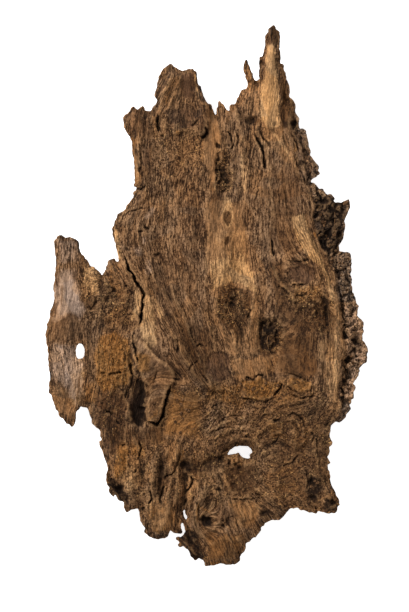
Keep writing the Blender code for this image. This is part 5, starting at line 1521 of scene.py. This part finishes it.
def marked(mesh):
    """Writes what the finish needs to know of each point: its grain, its wear, its depth below its
    surroundings for painted shade and highlight, and its colour areas.
    """
    points = vectors(mesh, "co") / MM
    x, y, z = points.T
    edge = edge_distance(x, y)
    low = bottom_height(x, y, edge)
    high, crack = top_height(x, y, edge)
    share = clipped((z - low) / np.maximum(high - low, THINNEST))
    grain_x, grain_y = wandering(x, y, GRAIN_WANDER)
    near, far = hollows(x, y, share > 0.5)
    face = ease((share - FACE_START) / FACE_BLEND)
    across = across_grain(grain_x, grain_y)
    crumbled, calm = broken(x, y)
    beyond = cork_beyond(x, y)[0]
    marks = {
        "grain_across": across * MM,
        "grain_along": grain_y * MM,
        "flake": flakes(across, grain_y)[1],
        "crack": crack * face,
        "hollow_near": near,
        "hollow_far": far,
        "cork": np.maximum(beyond, faded(share - CORK_START, CORK_BLEND)),
        "crumbled": crumbled * face,
        "calm": calm * face,
    }
    shown = ease((share - TINT_START) / TINT_BLEND)
    for name, areas in TINTS.items():
        marks[name] = np.maximum(strongest(x, y, areas), lined(x, y, STREAKS.get(name, ()))) * shown
    for name, values in marks.items():
        layer = mesh.attributes.new(name, "FLOAT", "POINT")
        layer.data.foreach_set("value", values.astype(np.float32))


def carried(piece, collection):
    """Links a piece, says which body it rides on, and hides the solid that it stands for."""
    collection.objects.link(piece)
    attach(piece, CAD_BODY)
    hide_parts(CAD_NODE)
    return piece


def collection_named(name):
    """The scene's collection of that name, made if it isn't there yet."""
    found = bpy.data.collections.get(name)
    if found is None:
        found = bpy.data.collections.new(name)
        bpy.context.scene.collection.children.link(found)
    return found


def new_node(tree, kind, inputs=(), **settings):
    """Adds a node, sets its fields, and links or sets its inputs, which are given by name or number."""
    made = tree.nodes.new(kind)
    for field, value in settings.items():
        setattr(made, field, value)
    for socket, source in dict(inputs).items():
        if isinstance(source, bpy.types.NodeSocket):
            tree.links.new(source, made.inputs[socket])
        else:
            made.inputs[socket].default_value = source
    return made


def calculated(tree, operation, *values, clamp=False):
    """The output of a Math node."""
    inputs = dict(enumerate(values))
    return new_node(tree, "ShaderNodeMath", inputs, operation=operation, use_clamp=clamp).outputs[0]


def times(tree, first, second):
    """One value times another."""
    return calculated(tree, "MULTIPLY", first, second)


def scaled(tree, value, factor, offset):
    """A value times a factor, plus an offset."""
    return calculated(tree, "MULTIPLY_ADD", value, factor, offset)


def larger(tree, first, second):
    """The larger of two values."""
    return calculated(tree, "MAXIMUM", first, second)


def mixed(tree, factor, first, second):
    """The output of a mix of two numbers."""
    inputs = {0: factor, 2: first, 3: second}
    return new_node(tree, "ShaderNodeMix", inputs, data_type="FLOAT").outputs[0]


def summed(tree, *terms):
    """The sum of some values, each times its own weight."""
    total = calculated(tree, "MULTIPLY", *terms[0])
    for value, weight in terms[1:]:
        total = scaled(tree, value, weight, total)
    return total


def between(tree, value, low, high):
    """Goes smoothly from 0 to 1 as a value goes from low to high."""
    inputs = {"Value": value, "From Min": low, "From Max": high}
    return new_node(tree, "ShaderNodeMapRange", inputs, interpolation_type="SMOOTHSTEP").outputs[0]


def blended(tree, factor, first, second, kind="MIX"):
    """The output of a colour mix from first to second."""
    inputs = {0: factor, 6: first, 7: second}
    return new_node(tree, "ShaderNodeMix", inputs, data_type="RGBA", blend_type=kind).outputs[2]


def noise(tree, vector, scale, detail, roughness=0.6, distortion=0.0):
    inputs = {
        "Vector": vector, "Scale": scale, "Detail": detail,
        "Roughness": roughness, "Distortion": distortion,
    }
    return new_node(tree, "ShaderNodeTexNoise", inputs).outputs["Fac"]


def cells(tree, vector, scale):
    """A value from 0 to 1 for each of many small irregular cells."""
    inputs = {"Vector": vector, "Scale": scale}
    return new_node(tree, "ShaderNodeTexVoronoi", inputs).outputs["Color"]


def mark(tree, name):
    """A value that the mesh holds for each point."""
    kind = "ShaderNodeAttribute"
    return new_node(tree, kind, attribute_name=name, attribute_type="GEOMETRY").outputs["Fac"]


def opaque(colour):
    return (*colour, 1.0)


def new_group(name, inputs, outputs):
    """An empty node group with the named float inputs and their defaults, and the named outputs."""
    group = bpy.data.node_groups.new(name, "ShaderNodeTree")
    for label, default in inputs.items():
        socket = group.interface.new_socket(name=label, in_out="INPUT", socket_type="NodeSocketFloat")
        socket.default_value = default
    for label in outputs:
        group.interface.new_socket(name=label, in_out="OUTPUT", socket_type="NodeSocketFloat")
    start = group.nodes.new("NodeGroupInput").outputs
    end = group.nodes.new("NodeGroupOutput").inputs
    return group, start, end


def placed(tree, group, inputs):
    """Places a node group in a material and returns its outputs."""
    return new_node(tree, "ShaderNodeGroup", inputs, node_tree=group).outputs


def thin_line(tree, vector, value, scale):
    """Thin broken lines where a noise passes its middle value, kept only here and there."""
    off = calculated(tree, "ABSOLUTE", calculated(tree, "SUBTRACT", value, 0.5))
    kept = between(tree, noise(tree, vector, scale, 1.0, 0.5), 0.48, 0.6)
    return times(tree, between(tree, off, 0.05, 0.015), kept)


def fibre_grain_group():
    """Short marks, dark dashes and the height of fibres, from a point's place across and along them."""
    inputs = {"Across": 0.0, "Along": 0.0, "Width": 0.001, "Length": 0.008}
    group, start, end = new_group("Fibre Grain", inputs, ("Tone", "Dash", "Split", "Height"))
    across = calculated(group, "DIVIDE", start["Across"], start["Width"])
    along = calculated(group, "DIVIDE", start["Along"], start["Length"])
    place = new_node(group, "ShaderNodeCombineXYZ", {"X": across, "Y": along}).outputs[0]
    fine = noise(group, place, 1.0, 2.0, 0.6)
    wide = noise(group, place, 0.3, 1.0, 0.5)
    split = cells(group, place, 1.3)
    both = summed(group, (fine, 0.6), (wide, 0.1), (split, 0.3))
    group.links.new(between(group, both, 0.375, 0.625), end["Tone"])
    dash = between(group, calculated(group, "SUBTRACT", 1.0, fine), 0.6, 0.7)
    rare = between(group, wide, 0.48, 0.64)
    group.links.new(times(group, dash, rare), end["Dash"])
    group.links.new(thin_line(group, place, wide, 0.13), end["Split"])
    group.links.new(fine, end["Height"])
    return group


def cork_grit_group():
    """Grains of broken cork: their tone, golden flecks, pits and height, at a given size of grain."""
    outputs = ("Tone", "Fleck", "Pit", "Split", "Height")
    group, start, end = new_group("Cork Grit", {"Grain Size": 0.0012}, outputs)
    place = new_node(group, "ShaderNodeTexCoord").outputs["Object"]
    scale = calculated(group, "DIVIDE", 1.0, start["Grain Size"])
    fine = noise(group, place, scale, 2.0, 0.6, 0.3)
    slow = noise(group, place, times(group, scale, 0.3), 1.0, 0.5)
    grain = cells(group, place, times(group, scale, 1.2))
    both = summed(group, (fine, 0.4), (slow, 0.1), (grain, 0.5))
    group.links.new(between(group, both, 0.37, 0.63), end["Tone"])
    group.links.new(between(group, fine, 0.58, 0.68), end["Fleck"])
    group.links.new(between(group, calculated(group, "SUBTRACT", 1.0, fine), 0.6, 0.69), end["Pit"])
    sparse = times(group, scale, 0.13)
    group.links.new(thin_line(group, place, slow, sparse), end["Split"])
    group.links.new(fine, end["Height"])
    return group


def crevice_group():
    """Painted shade and grime in cracks and where a point lies below others, and painted highlight and
    rubbing on crests.
    """
    inputs = {"Near": 0.0, "Far": 0.0, "Crack": 0.0}
    group, start, end = new_group("Crevice", inputs, ("Shade", "Crest"))
    near = between(group, start["Near"], 0.05, 0.95)
    far = between(group, start["Far"], 0.4, 4.2)
    deep = scaled(group, far, 0.75, times(group, near, 0.65))
    shade = calculated(group, "MAXIMUM", deep, start["Crack"], clamp=True)
    group.links.new(shade, end["Shade"])
    group.links.new(between(group, start["Near"], -0.06, -0.6), end["Crest"])
    return group


def ragged_area_group():
    """Breaks up the soft border of a colour area with a noise."""
    inputs = {"Area": 0.0, "Noise": 0.5, "Ragged": 0.5}
    group, start, end = new_group("Ragged Area", inputs, ("Mask",))
    shift = calculated(group, "SUBTRACT", start["Noise"], 0.5)
    moved = scaled(group, shift, start["Ragged"], start["Area"])
    inner = between(group, moved, 0.15, 0.85)
    group.links.new(times(group, inner, between(group, start["Area"], 0.0, 0.2)), end["Mask"])
    return group


def shared_group(maker, name):
    return bpy.data.node_groups.get(name) or maker()


def new_material(name):
    """A material with one Principled shader, and that shader."""
    material = bpy.data.materials.new(name)
    material.use_nodes = True
    shader = material.node_tree.nodes["Principled BSDF"]
    shader.inputs["Metallic"].default_value = 0.0
    shader.inputs["Specular IOR Level"].default_value = bpy.context.scene.bark_finish.sheen
    return material, shader


def bumped(tree, shader, height, depth):
    finish = bpy.context.scene.bark_finish
    inputs = {"Height": height, "Strength": finish.bump, "Distance": depth}
    bump = new_node(tree, "ShaderNodeBump", inputs)
    tree.links.new(bump.outputs[0], shader.inputs["Normal"])


def old_bark_material():
    """Weathered inner bark: streaked brown fibre, coloured patches, crumbled cork, and cracks darkened by
    painted shade and grime.
    """
    finish = bpy.context.scene.bark_finish
    material, shader = new_material("old_bark")
    tree = material.node_tree
    place = {"Across": mark(tree, "grain_across"), "Along": mark(tree, "grain_along")}
    grain = shared_group(fibre_grain_group, "Fibre Grain")
    fibre = placed(tree, grain, {**place, "Width": 0.00095, "Length": 0.0055})
    streak = placed(tree, grain, {**place, "Width": 0.0026, "Length": 0.02})
    broad = placed(tree, grain, {**place, "Width": 0.011, "Length": 0.055})
    band = placed(tree, grain, {**place, "Width": 0.016, "Length": 0.06})
    corky = shared_group(cork_grit_group, "Cork Grit")
    grit = placed(tree, corky, {"Grain Size": 0.00125})
    lump = placed(tree, corky, {"Grain Size": 0.0034})
    mottle = placed(tree, corky, {"Grain Size": 0.014})
    cloud = placed(tree, corky, {"Grain Size": 0.021})
    crumbled = mark(tree, "crumbled")
    cork = mark(tree, "cork")
    lively = scaled(tree, mark(tree, "calm"), -0.75, 1.0)
    rough = larger(tree, crumbled, cork)
    flake = scaled(tree, mark(tree, "flake"), 0.5, 0.5)

    fine = mixed(tree, scaled(tree, rough, 0.6, 0.35), fibre["Tone"], grit["Tone"])
    middle = mixed(tree, scaled(tree, rough, 0.7, 0.2), streak["Tone"], lump["Tone"])
    coarse = mixed(tree, 0.5, broad["Tone"], mottle["Tone"])
    fine = mixed(tree, lively, 0.5, fine)
    tone = summed(tree, (fine, 0.65), (middle, 0.08), (coarse, 0.18), (flake, 0.09))
    tone = between(tree, tone, 0.17, 0.83)
    colour = blended(tree, between(tree, tone, 0.0, 0.5), opaque(finish.dark), opaque(finish.middle))
    colour = blended(tree, between(tree, tone, 0.5, 1.0), colour, opaque(finish.light))
    crumb_colour = blended(tree, tone, opaque(finish.crumb_dark), opaque(finish.crumb_light))
    colour = blended(tree, times(tree, crumbled, 0.9), colour, crumb_colour)
    cork_colour = blended(tree, tone, opaque(finish.cork_dark), opaque(finish.cork_light))
    colour = blended(tree, cork, colour, cork_colour)

    strength = scaled(tree, tone, finish.contrast, 1.0 - finish.contrast / 2)
    ragged = shared_group(ragged_area_group, "Ragged Area")
    torn = summed(tree, (fine, 0.5), (middle, 0.25), (mottle["Tone"], 0.25))
    for name in TINTS:
        mask = placed(tree, ragged, {"Area": mark(tree, name), "Noise": torn, "Ragged": 0.4})["Mask"]
        tint = blended(tree, 1.0, opaque(getattr(finish, name)), strength, "MULTIPLY")
        colour = blended(tree, times(tree, mask, finish.tint_strength), colour, tint)

    # Golden flecks: bright grains of soft cork, partly painted glints
    golden = times(tree, grit["Fleck"], between(tree, lump["Tone"], 0.3, 0.9))
    golden = times(tree, golden, scaled(tree, crumbled, 1.3, 0.12))
    golden = times(tree, golden, lively)
    golden = times(tree, golden, calculated(tree, "SUBTRACT", 1.0, mark(tree, "soot_and_shadow")))
    colour = blended(tree, golden, colour, opaque(finish.fleck))

    tinge = mixed(tree, 0.5, band["Tone"], cloud["Tone"])
    cast = blended(tree, tinge, opaque(finish.warm_cast), opaque(finish.cool_cast))
    colour = blended(tree, 1.0, colour, cast, "MULTIPLY")

    depths = {"Near": mark(tree, "hollow_near"), "Far": mark(tree, "hollow_far")}
    crevice_inputs = {**depths, "Crack": mark(tree, "crack")}
    crevice = placed(tree, shared_group(crevice_group, "Crevice"), crevice_inputs)
    # Crests are lightened: partly rubbed wear, partly painted highlight
    wear_and_highlight = times(tree, crevice["Crest"], finish.wear_and_highlight)
    colour = blended(tree, wear_and_highlight, colour, blended(tree, 1.0, colour, opaque(finish.crest), "ADD"))
    dashes = larger(tree, fibre["Dash"], times(tree, streak["Dash"], 0.6))
    dashes = times(tree, dashes, scaled(tree, rough, -0.15, 0.3))
    pits = times(tree, grit["Pit"], scaled(tree, rough, 0.3, 0.15))
    lines = larger(tree, streak["Split"], times(tree, fibre["Split"], 0.7))
    lines = mixed(tree, rough, lines, larger(tree, lump["Split"], grit["Split"]))
    lines = times(tree, lines, SPLIT_SHADE)
    marks = larger(tree, lines, larger(tree, dashes, pits))
    marks = times(tree, marks, lively)
    # Fibre gaps, pits and dashes, and painted shade with some grime in cracks and hollows, darken the
    # colour
    marks_and_shade = larger(tree, marks, crevice["Shade"])
    colour = blended(tree, times(tree, marks_and_shade, finish.shade), colour, opaque(finish.crevice))
    tree.links.new(colour, shader.inputs["Base Color"])

    dry = scaled(tree, tone, 0.12, finish.roughness)
    tree.links.new(dry, shader.inputs["Roughness"])
    height = mixed(tree, scaled(tree, rough, 0.6, 0.35), fibre["Height"], grit["Height"])
    height = mixed(tree, lively, 0.5, height)
    height = summed(tree, (height, 1.0), (middle, 0.3), (marks_and_shade, -0.4))
    bumped(tree, shader, height, finish.bump_depth)
    return material


def loose_material(name, dark, light, cork):
    """The finish of small loose bits: torn fibre, or cork."""
    finish = bpy.context.scene.bark_finish
    material, shader = new_material(name)
    tree = material.node_tree
    place = new_node(tree, "ShaderNodeTexCoord").outputs["Object"]
    parts = new_node(tree, "ShaderNodeSeparateXYZ", {0: place}).outputs
    grain = shared_group(fibre_grain_group, "Fibre Grain")
    place = {"Across": parts["X"], "Along": parts["Y"]}
    fibre = placed(tree, grain, {**place, "Width": 0.004, "Length": 0.02})
    grit = placed(tree, shared_group(cork_grit_group, "Cork Grit"), {"Grain Size": 0.0015})
    tone = scaled(tree, grit["Tone"], cork, times(tree, fibre["Tone"], 1.0 - cork))
    colour = blended(tree, tone, opaque(dark), opaque(light))
    tree.links.new(colour, shader.inputs["Base Color"])
    dry = scaled(tree, tone, 0.1, finish.roughness)
    tree.links.new(dry, shader.inputs["Roughness"])
    bumped(tree, shader, grit["Height"], 0.0002)
    return material


def grain_steps(x, y, turn, step, count):
    """Walks along the grain from each start, turn being 1 up the picture and -1 down it."""
    path = [(x, y)]
    for _ in range(count):
        slope_x = across_grain(x + GRAIN_PROBE, y) - across_grain(x - GRAIN_PROBE, y)
        slope_y = across_grain(x, y + GRAIN_PROBE) - across_grain(x, y - GRAIN_PROBE)
        size = np.hypot(slope_x, slope_y) + TINY
        dx = -slope_y / size
        dy = slope_x / size
        up = np.where(dy < 0, -1.0, 1.0) * turn
        x = x + dx * up * step
        y = y + dy * up * step
        path.append((x, y))
    return np.array(path)


def on_slab(x, y, margin):
    """Whether each point is on the slab, at least a margin from its rim and from its holes."""
    found = inside(x, y, plan(OUTLINE)) & (edge_distance(x, y) > margin)
    for hole in LOOPS[1:]:
        found &= ~inside(x, y, plan(hole))
    return found


def scattered(rng, count, areas):
    """Random places on the slab within any of the given areas, well inside its outline."""
    found = np.empty((0, 2))
    reach = np.array(HOLLOW_REACH)
    while len(found) < count:
        tries = rng.uniform(-reach, reach, (4 * count, 2))
        x, y = tries.T
        within_any = np.any([inside(x, y, plan(area)) for area in areas], axis=0)
        kept = on_slab(x, y, CRUMB_MARGIN) & within_any
        found = np.vstack((found, tries[kept]))
    return found[:count]


def torn_fibres():
    """Thin fibres that lie along the grain, with their ends torn loose."""
    form = bpy.context.scene.bark_form
    rng = np.random.default_rng(form.seed)
    count = form.fibre_count
    x, y = scattered(rng, count, [FIBRE_GROUND]).T
    turn = rng.choice((-1.0, 1.0), count)
    length = rng.uniform(*FIBRE_LENGTHS, count) * form.fibre_length / MM
    radius = rng.uniform(*FIBRE_RADII, count) * form.fibre_radius
    lift = rng.uniform(0.0, 1.0, count) ** 3 * FIBRE_LIFT
    path = grain_steps(x, y, turn, length / FIBRE_STEPS, FIBRE_STEPS)
    flat = path.transpose(0, 2, 1).reshape(-1, 2)
    safe = on_slab(*flat.T, FIBRE_MARGIN)
    kept = np.flatnonzero(safe.reshape(FIBRE_STEPS + 1, count).all(axis=0))
    path = path[:, :, kept]
    radius = radius[kept]
    lift = lift[kept]
    count = len(kept)
    curve = bpy.data.curves.new("torn_fibres", "CURVE")
    curve.dimensions = "3D"
    curve.bevel_depth = 1.0
    curve.bevel_resolution = 0
    curve.use_fill_caps = True
    walk = np.linspace(0.0, 1.0, FIBRE_STEPS + 1)
    flat = path.transpose(2, 0, 1).reshape(-1, 2)
    ground = top_height(flat[:, 0], flat[:, 1], edge_distance(flat[:, 0], flat[:, 1]))[0]
    ground = ground.reshape(count, FIBRE_STEPS + 1)
    smooth = (ground[:, :-2] + ground[:, 1:-1] + ground[:, 2:]) / 3
    ground[:, 1:-1] = smooth
    for index in range(count):
        height = ground[index] * MM + radius[index] * 0.4 + lift[index] * MM * walk ** 3
        height[0] -= FIBRE_SINK * MM
        spline = curve.splines.new("POLY")
        spline.points.add(FIBRE_STEPS)
        rows = np.column_stack((path[:, :, index] * MM, height, np.ones(FIBRE_STEPS + 1)))
        spline.points.foreach_set("co", rows.ravel())
        spline.points.foreach_set("radius", radius[index] * (1.0 - FIBRE_THINNING * walk ** 2))
    return curve


def cork_crumbs():
    """Small broken bits of cork, half sunk in the crumbled ground and along the cork at the right."""
    form = bpy.context.scene.bark_form
    rng = np.random.default_rng(form.seed + 1)
    count = form.crumb_count
    x, y = scattered(rng, count, CRUMB_GROUND).T
    ground = top_height(x, y, edge_distance(x, y))[0]
    lumps = bmesh.new()
    for index in range(count):
        size = form.crumb_size * rng.uniform(*CRUMB_SIZES) ** 1.5
        spot = Vector((x[index] * MM, y[index] * MM, ground[index] * MM + size * CRUMB_SINK))
        tilt = rng.uniform(-CRUMB_TILT, CRUMB_TILT, 2).tolist()
        turn = Euler(tilt + [rng.uniform(0.0, 6.3)]).to_matrix().to_4x4()
        squash = Matrix.Diagonal((*[share * size for share in CRUMB_SHAPE], 1.0))
        place = Matrix.Translation(spot) @ turn @ squash
        made = bmesh.ops.create_icosphere(lumps, subdivisions=2, radius=0.5, matrix=place)["verts"]
        for point, push in zip(made, rng.uniform(*CRUMB_DENTS, len(made))):
            point.co = spot + (point.co - spot) * push
    mesh = bpy.data.meshes.new("cork_crumbs")
    lumps.to_mesh(mesh)
    lumps.free()
    return mesh


def size(label, about, default, **more):
    return FloatProperty(
        name=label, description=about, default=default, min=0.0, unit="LENGTH", subtype="DISTANCE",
        precision=5, **more,
    )


def whole(label, about, default, least=0):
    return IntProperty(name=label, description=about, default=default, min=least)


def amount(label, about, default, **more):
    return FloatProperty(name=label, description=about, default=default, **more)


def colour(label, about, default):
    return FloatVectorProperty(
        name=label, description=about, default=default, size=3, min=0.0, max=1.0, subtype="COLOR",
    )


class BarkForm(bpy.types.PropertyGroup):
    """Sizes of the slab and of what grows on it."""

    length: size("Length", "Length of the slab from its spire to its lowest lobe", 0.4)
    trough_left: size("Left Radius", "Radius of the trough left of its middle line", 0.34)
    trough_right: size("Right Radius", "Radius of the trough right of its middle line", 0.3)
    bow: size("Bow Radius", "Radius of the bow along the slab's length", 2.4)
    thickness: size("Thickness", "Thickness of the slab away from its edges", 0.011)
    wing_thickness: size("Wing Thickness", "Thickness of the thin wing on the left", 0.006)
    voxel: size("Grid", "Spacing of the grid that the relief is made on", 0.00072)
    triangles: whole("Triangles", "Triangles left in the slab", 190000, 1000)
    fibre_count: whole("Fibres", "Number of torn fibres", 110)
    fibre_length: size("Fibre Length", "Length of the longest torn fibre", 0.026)
    fibre_radius: size("Fibre Radius", "Radius of the thickest torn fibre", 0.00026)
    crumb_count: whole("Crumbs", "Number of loose cork crumbs", 300)
    crumb_size: size("Crumb Size", "Size of the largest loose crumb", 0.0034)
    seed: whole("Seed", "Seed of the random places", 17)


class BarkFinish(bpy.types.PropertyGroup):
    """Colours and wear of every surface."""

    dark: colour("Dark Fibre", "Darkest streaks of the inner face", (0.036, 0.0165, 0.0065))
    middle: colour("Middle Fibre", "Commonest brown of the inner face", (0.154, 0.077, 0.0345))
    light: colour("Light Fibre", "Lightest streaks of the inner face", (0.37, 0.205, 0.098))
    crumb_dark: colour("Dark Crumb", "Shaded grains of the crumbled cork", (0.034, 0.0145, 0.005))
    crumb_light: colour("Light Crumb", "Lit grains of the crumbled cork", (0.31, 0.15, 0.056))
    warm_cast: colour("Warm Cast", "What the warmer places keep of each colour", (1.0, 0.9, 0.78))
    cool_cast: colour("Cool Cast", "What the cooler places keep of each colour", (0.86, 0.9, 1.0))
    cork_dark: colour("Dark Cork", "Shaded cork at the rim and below", (0.026, 0.0145, 0.009))
    cork_light: colour("Light Cork", "Lit cork at the rim and below", (0.375, 0.248, 0.162))
    tan: colour("Tan Fibre", "Light brown fibre of the middle and the ridges", (0.3, 0.152, 0.063))
    # Also used for painted highlights on lumps of the lower third
    pale: colour("Pale Wood", "Bare pale wood of the spire and the middle", (0.5, 0.282, 0.122))
    grey: colour("Weathered Grey", "Sun-bleached fibre of the wing", (0.4, 0.265, 0.178))
    ochre: colour("Ochre Cork", "Ochre patches of soft cork", (0.25, 0.108, 0.028))
    mauve: colour("Mauve Brown", "Smooth dull brown patches", (0.112, 0.055, 0.027))
    umber: colour("Umber", "Dark warm brown of knots and broken ground", (0.088, 0.04, 0.015))
    # Near-black of charred tips, and painted shadow in hollows
    soot_and_shadow: colour("Sooty Brown", "Blackened hollows and tips", (0.022, 0.0105, 0.0055))
    # Golden grains, partly painted glints
    fleck: colour("Golden Fleck", "Small bright grains of soft cork", (0.8, 0.45, 0.16))
    # Colour of the painted shade in cracks and hollows, with some grime in it
    crevice: colour("Crevice", "Dirt in cracks and hollows", (0.009, 0.0045, 0.0022))
    contrast: amount("Contrast", "How much streaks change a coloured patch", 1.25, min=0.0, max=2.0)
    tint_strength: amount("Patch Strength", "How strongly coloured patches show", 0.9, min=0.0, max=1.0)
    shade: amount("Crevice Shade", "How dark cracks and hollows are", 0.84, min=0.0, max=1.0)
    roughness: amount("Roughness", "Least roughness of the dry bark", 0.82, min=0.0, max=1.0)
    sheen: amount("Specular", "Strength of the bark's dull reflection", 0.12, min=0.0, max=1.0)
    # Crest lightening: partly rubbed wear, partly painted highlight
    wear_and_highlight: amount("Worn Crests", "How much the crests of the relief are rubbed light", 0.9, min=0.0, max=1.0)
    crest: colour("Crest", "What wear adds to the colour of a crest", (0.13, 0.074, 0.033))
    bump: amount("Bump", "Strength of the finest relief", 1.0, min=0.0, max=1.0)
    bump_depth: size("Bump Depth", "Depth of the finest relief", 0.0026)


class BarkStage(bpy.types.PropertyGroup):
    """The floor, the lights and the camera."""

    lens: FloatProperty(name="Lens", description="Focal length of the camera", default=180.0, unit="CAMERA")
    focus_height: size("Framed Height", "Height over the floor that fits the picture exactly", 0.016)
    floor: colour("Floor", "Colour of the plain floor", (0.9, 0.9, 0.9))
    glow: amount("Floor Glow", "How much the floor lights up its own shadows", 0.85, min=0.0)
    key: amount("Key Light", "Power of the soft light at the upper left, in watts", 20.8, min=0.0)
    sky: amount("Fill Light", "Strength of the even light from all around", 0.58, min=0.0)


class BARK_OT_slab(bpy.types.Operator):
    """Build the slab, with its relief, its rim and its finish"""

    bl_idname = "bark.slab"
    bl_label = "Bark Slab"

    def execute(self, context):
        slab = bpy.data.objects.new("bark_slab", flat_blank())
        carried(slab, collection_named("bark"))
        remeshed(slab)
        reduced(slab, shaped(slab))
        marked(slab.data)
        slab.data.materials.append(old_bark_material())
        slab.data.shade_smooth()
        return {"FINISHED"}


class BARK_OT_fibres(bpy.types.Operator):
    """Lay torn fibres along the grain of the inner face"""

    bl_idname = "bark.fibres"
    bl_label = "Torn Fibres"

    def execute(self, context):
        finish = context.scene.bark_finish
        curve = torn_fibres()
        curve.materials.append(loose_material("torn_fibre", finish.middle, finish.tan, 0.2))
        carried(bpy.data.objects.new("torn_fibres", curve), collection_named("bark"))
        return {"FINISHED"}


class BARK_OT_crumbs(bpy.types.Operator):
    """Scatter broken bits of cork over the crumbled ground"""

    bl_idname = "bark.crumbs"
    bl_label = "Cork Crumbs"

    def execute(self, context):
        finish = context.scene.bark_finish
        mesh = cork_crumbs()
        mesh.materials.append(loose_material("cork_crumb", finish.crumb_dark, finish.middle, 0.9))
        carried(bpy.data.objects.new("cork_crumbs", mesh), collection_named("bark"))
        return {"FINISHED"}


class BARK_OT_stage(bpy.types.Operator):
    """Add the floor, the lights and the camera"""

    bl_idname = "bark.stage"
    bl_label = "Floor, Lights and Camera"

    def execute(self, context):
        stage = context.scene.bark_stage
        collection = collection_named("stage")
        plane = bpy.data.meshes.new("floor")
        sheet = bmesh.new()
        bmesh.ops.create_grid(sheet, x_segments=1, y_segments=1, size=FLOOR_HALF_WIDTH)
        sheet.to_mesh(plane)
        sheet.free()
        material, shader = new_material("plain_floor")
        shader.inputs["Base Color"].default_value = opaque(stage.floor)
        shader.inputs["Roughness"].default_value = 0.9
        shader.inputs["Emission Color"].default_value = opaque(stage.floor)
        shader.inputs["Emission Strength"].default_value = stage.glow
        plane.materials.append(material)
        floor = bpy.data.objects.new("floor", plane)
        floor.location.z = -FLOOR_CLEARANCE
        collection.objects.link(floor)

        lamp = bpy.data.lights.new("key_light", "AREA")
        lamp.shape = "DISK"
        lamp.size = KEY_SIZE
        lamp.energy = stage.key
        key = bpy.data.objects.new("key_light", lamp)
        key.location = KEY_PLACE
        key.rotation_euler = (-Vector(KEY_PLACE)).to_track_quat("-Z", "Y").to_euler()
        collection.objects.link(key)

        world = bpy.data.worlds.new("soft_room")
        world.use_nodes = True
        background = world.node_tree.nodes["Background"]
        background.inputs["Color"].default_value = (1.0, 1.0, 1.0, 1.0)
        background.inputs["Strength"].default_value = stage.sky
        context.scene.world = world
        context.scene.view_settings.view_transform = "Standard"

        view = bpy.data.cameras.new("camera")
        view.lens = stage.lens
        view.sensor_width = SENSOR
        view.sensor_fit = "AUTO"
        view.clip_end = CAMERA_REACH
        pixel = pixel_size() * MM
        away = stage.lens / SENSOR * PICTURE_HEIGHT * pixel + stage.focus_height
        camera = bpy.data.objects.new("camera", view)
        across = (PICTURE_WIDTH / 2 - PICTURE_MIDDLE_X) * pixel
        up = (PICTURE_MIDDLE_Y - PICTURE_HEIGHT / 2) * pixel
        camera.location = (across, up, away)
        collection.objects.link(camera)
        context.scene.camera = camera
        return {"FINISHED"}


class BARK_PT_panel(bpy.types.Panel):
    """Lists the bark's settings and the buttons that build it"""

    bl_label = "Old Bark Slab"
    bl_idname = "BARK_PT_panel"
    bl_space_type = "VIEW_3D"
    bl_region_type = "UI"
    bl_category = "Bark"

    def draw(self, context):
        for settings in (context.scene.bark_form, context.scene.bark_finish, context.scene.bark_stage):
            column = self.layout.column(align=True)
            for name in settings.__annotations__:
                column.prop(settings, name)
        for operator in OPERATORS:
            self.layout.operator(operator.bl_idname)


SETTINGS = {"bark_form": BarkForm, "bark_finish": BarkFinish, "bark_stage": BarkStage}
OPERATORS = (BARK_OT_slab, BARK_OT_fibres, BARK_OT_crumbs, BARK_OT_stage)
CLASSES = (*SETTINGS.values(), *OPERATORS, BARK_PT_panel)


def register():
    for kind in CLASSES:
        bpy.utils.register_class(kind)
    for name, kind in SETTINGS.items():
        setattr(bpy.types.Scene, name, PointerProperty(type=kind))


def unregister():
    for name in SETTINGS:
        delattr(bpy.types.Scene, name)
    for kind in reversed(CLASSES):
        bpy.utils.unregister_class(kind)


def main():
    register()
    bpy.ops.bark.slab()
    bpy.ops.bark.fibres()
    bpy.ops.bark.crumbs()
    bpy.ops.bark.stage()
    bpy.context.view_layer.update()


if __name__ == "__main__":
    main()
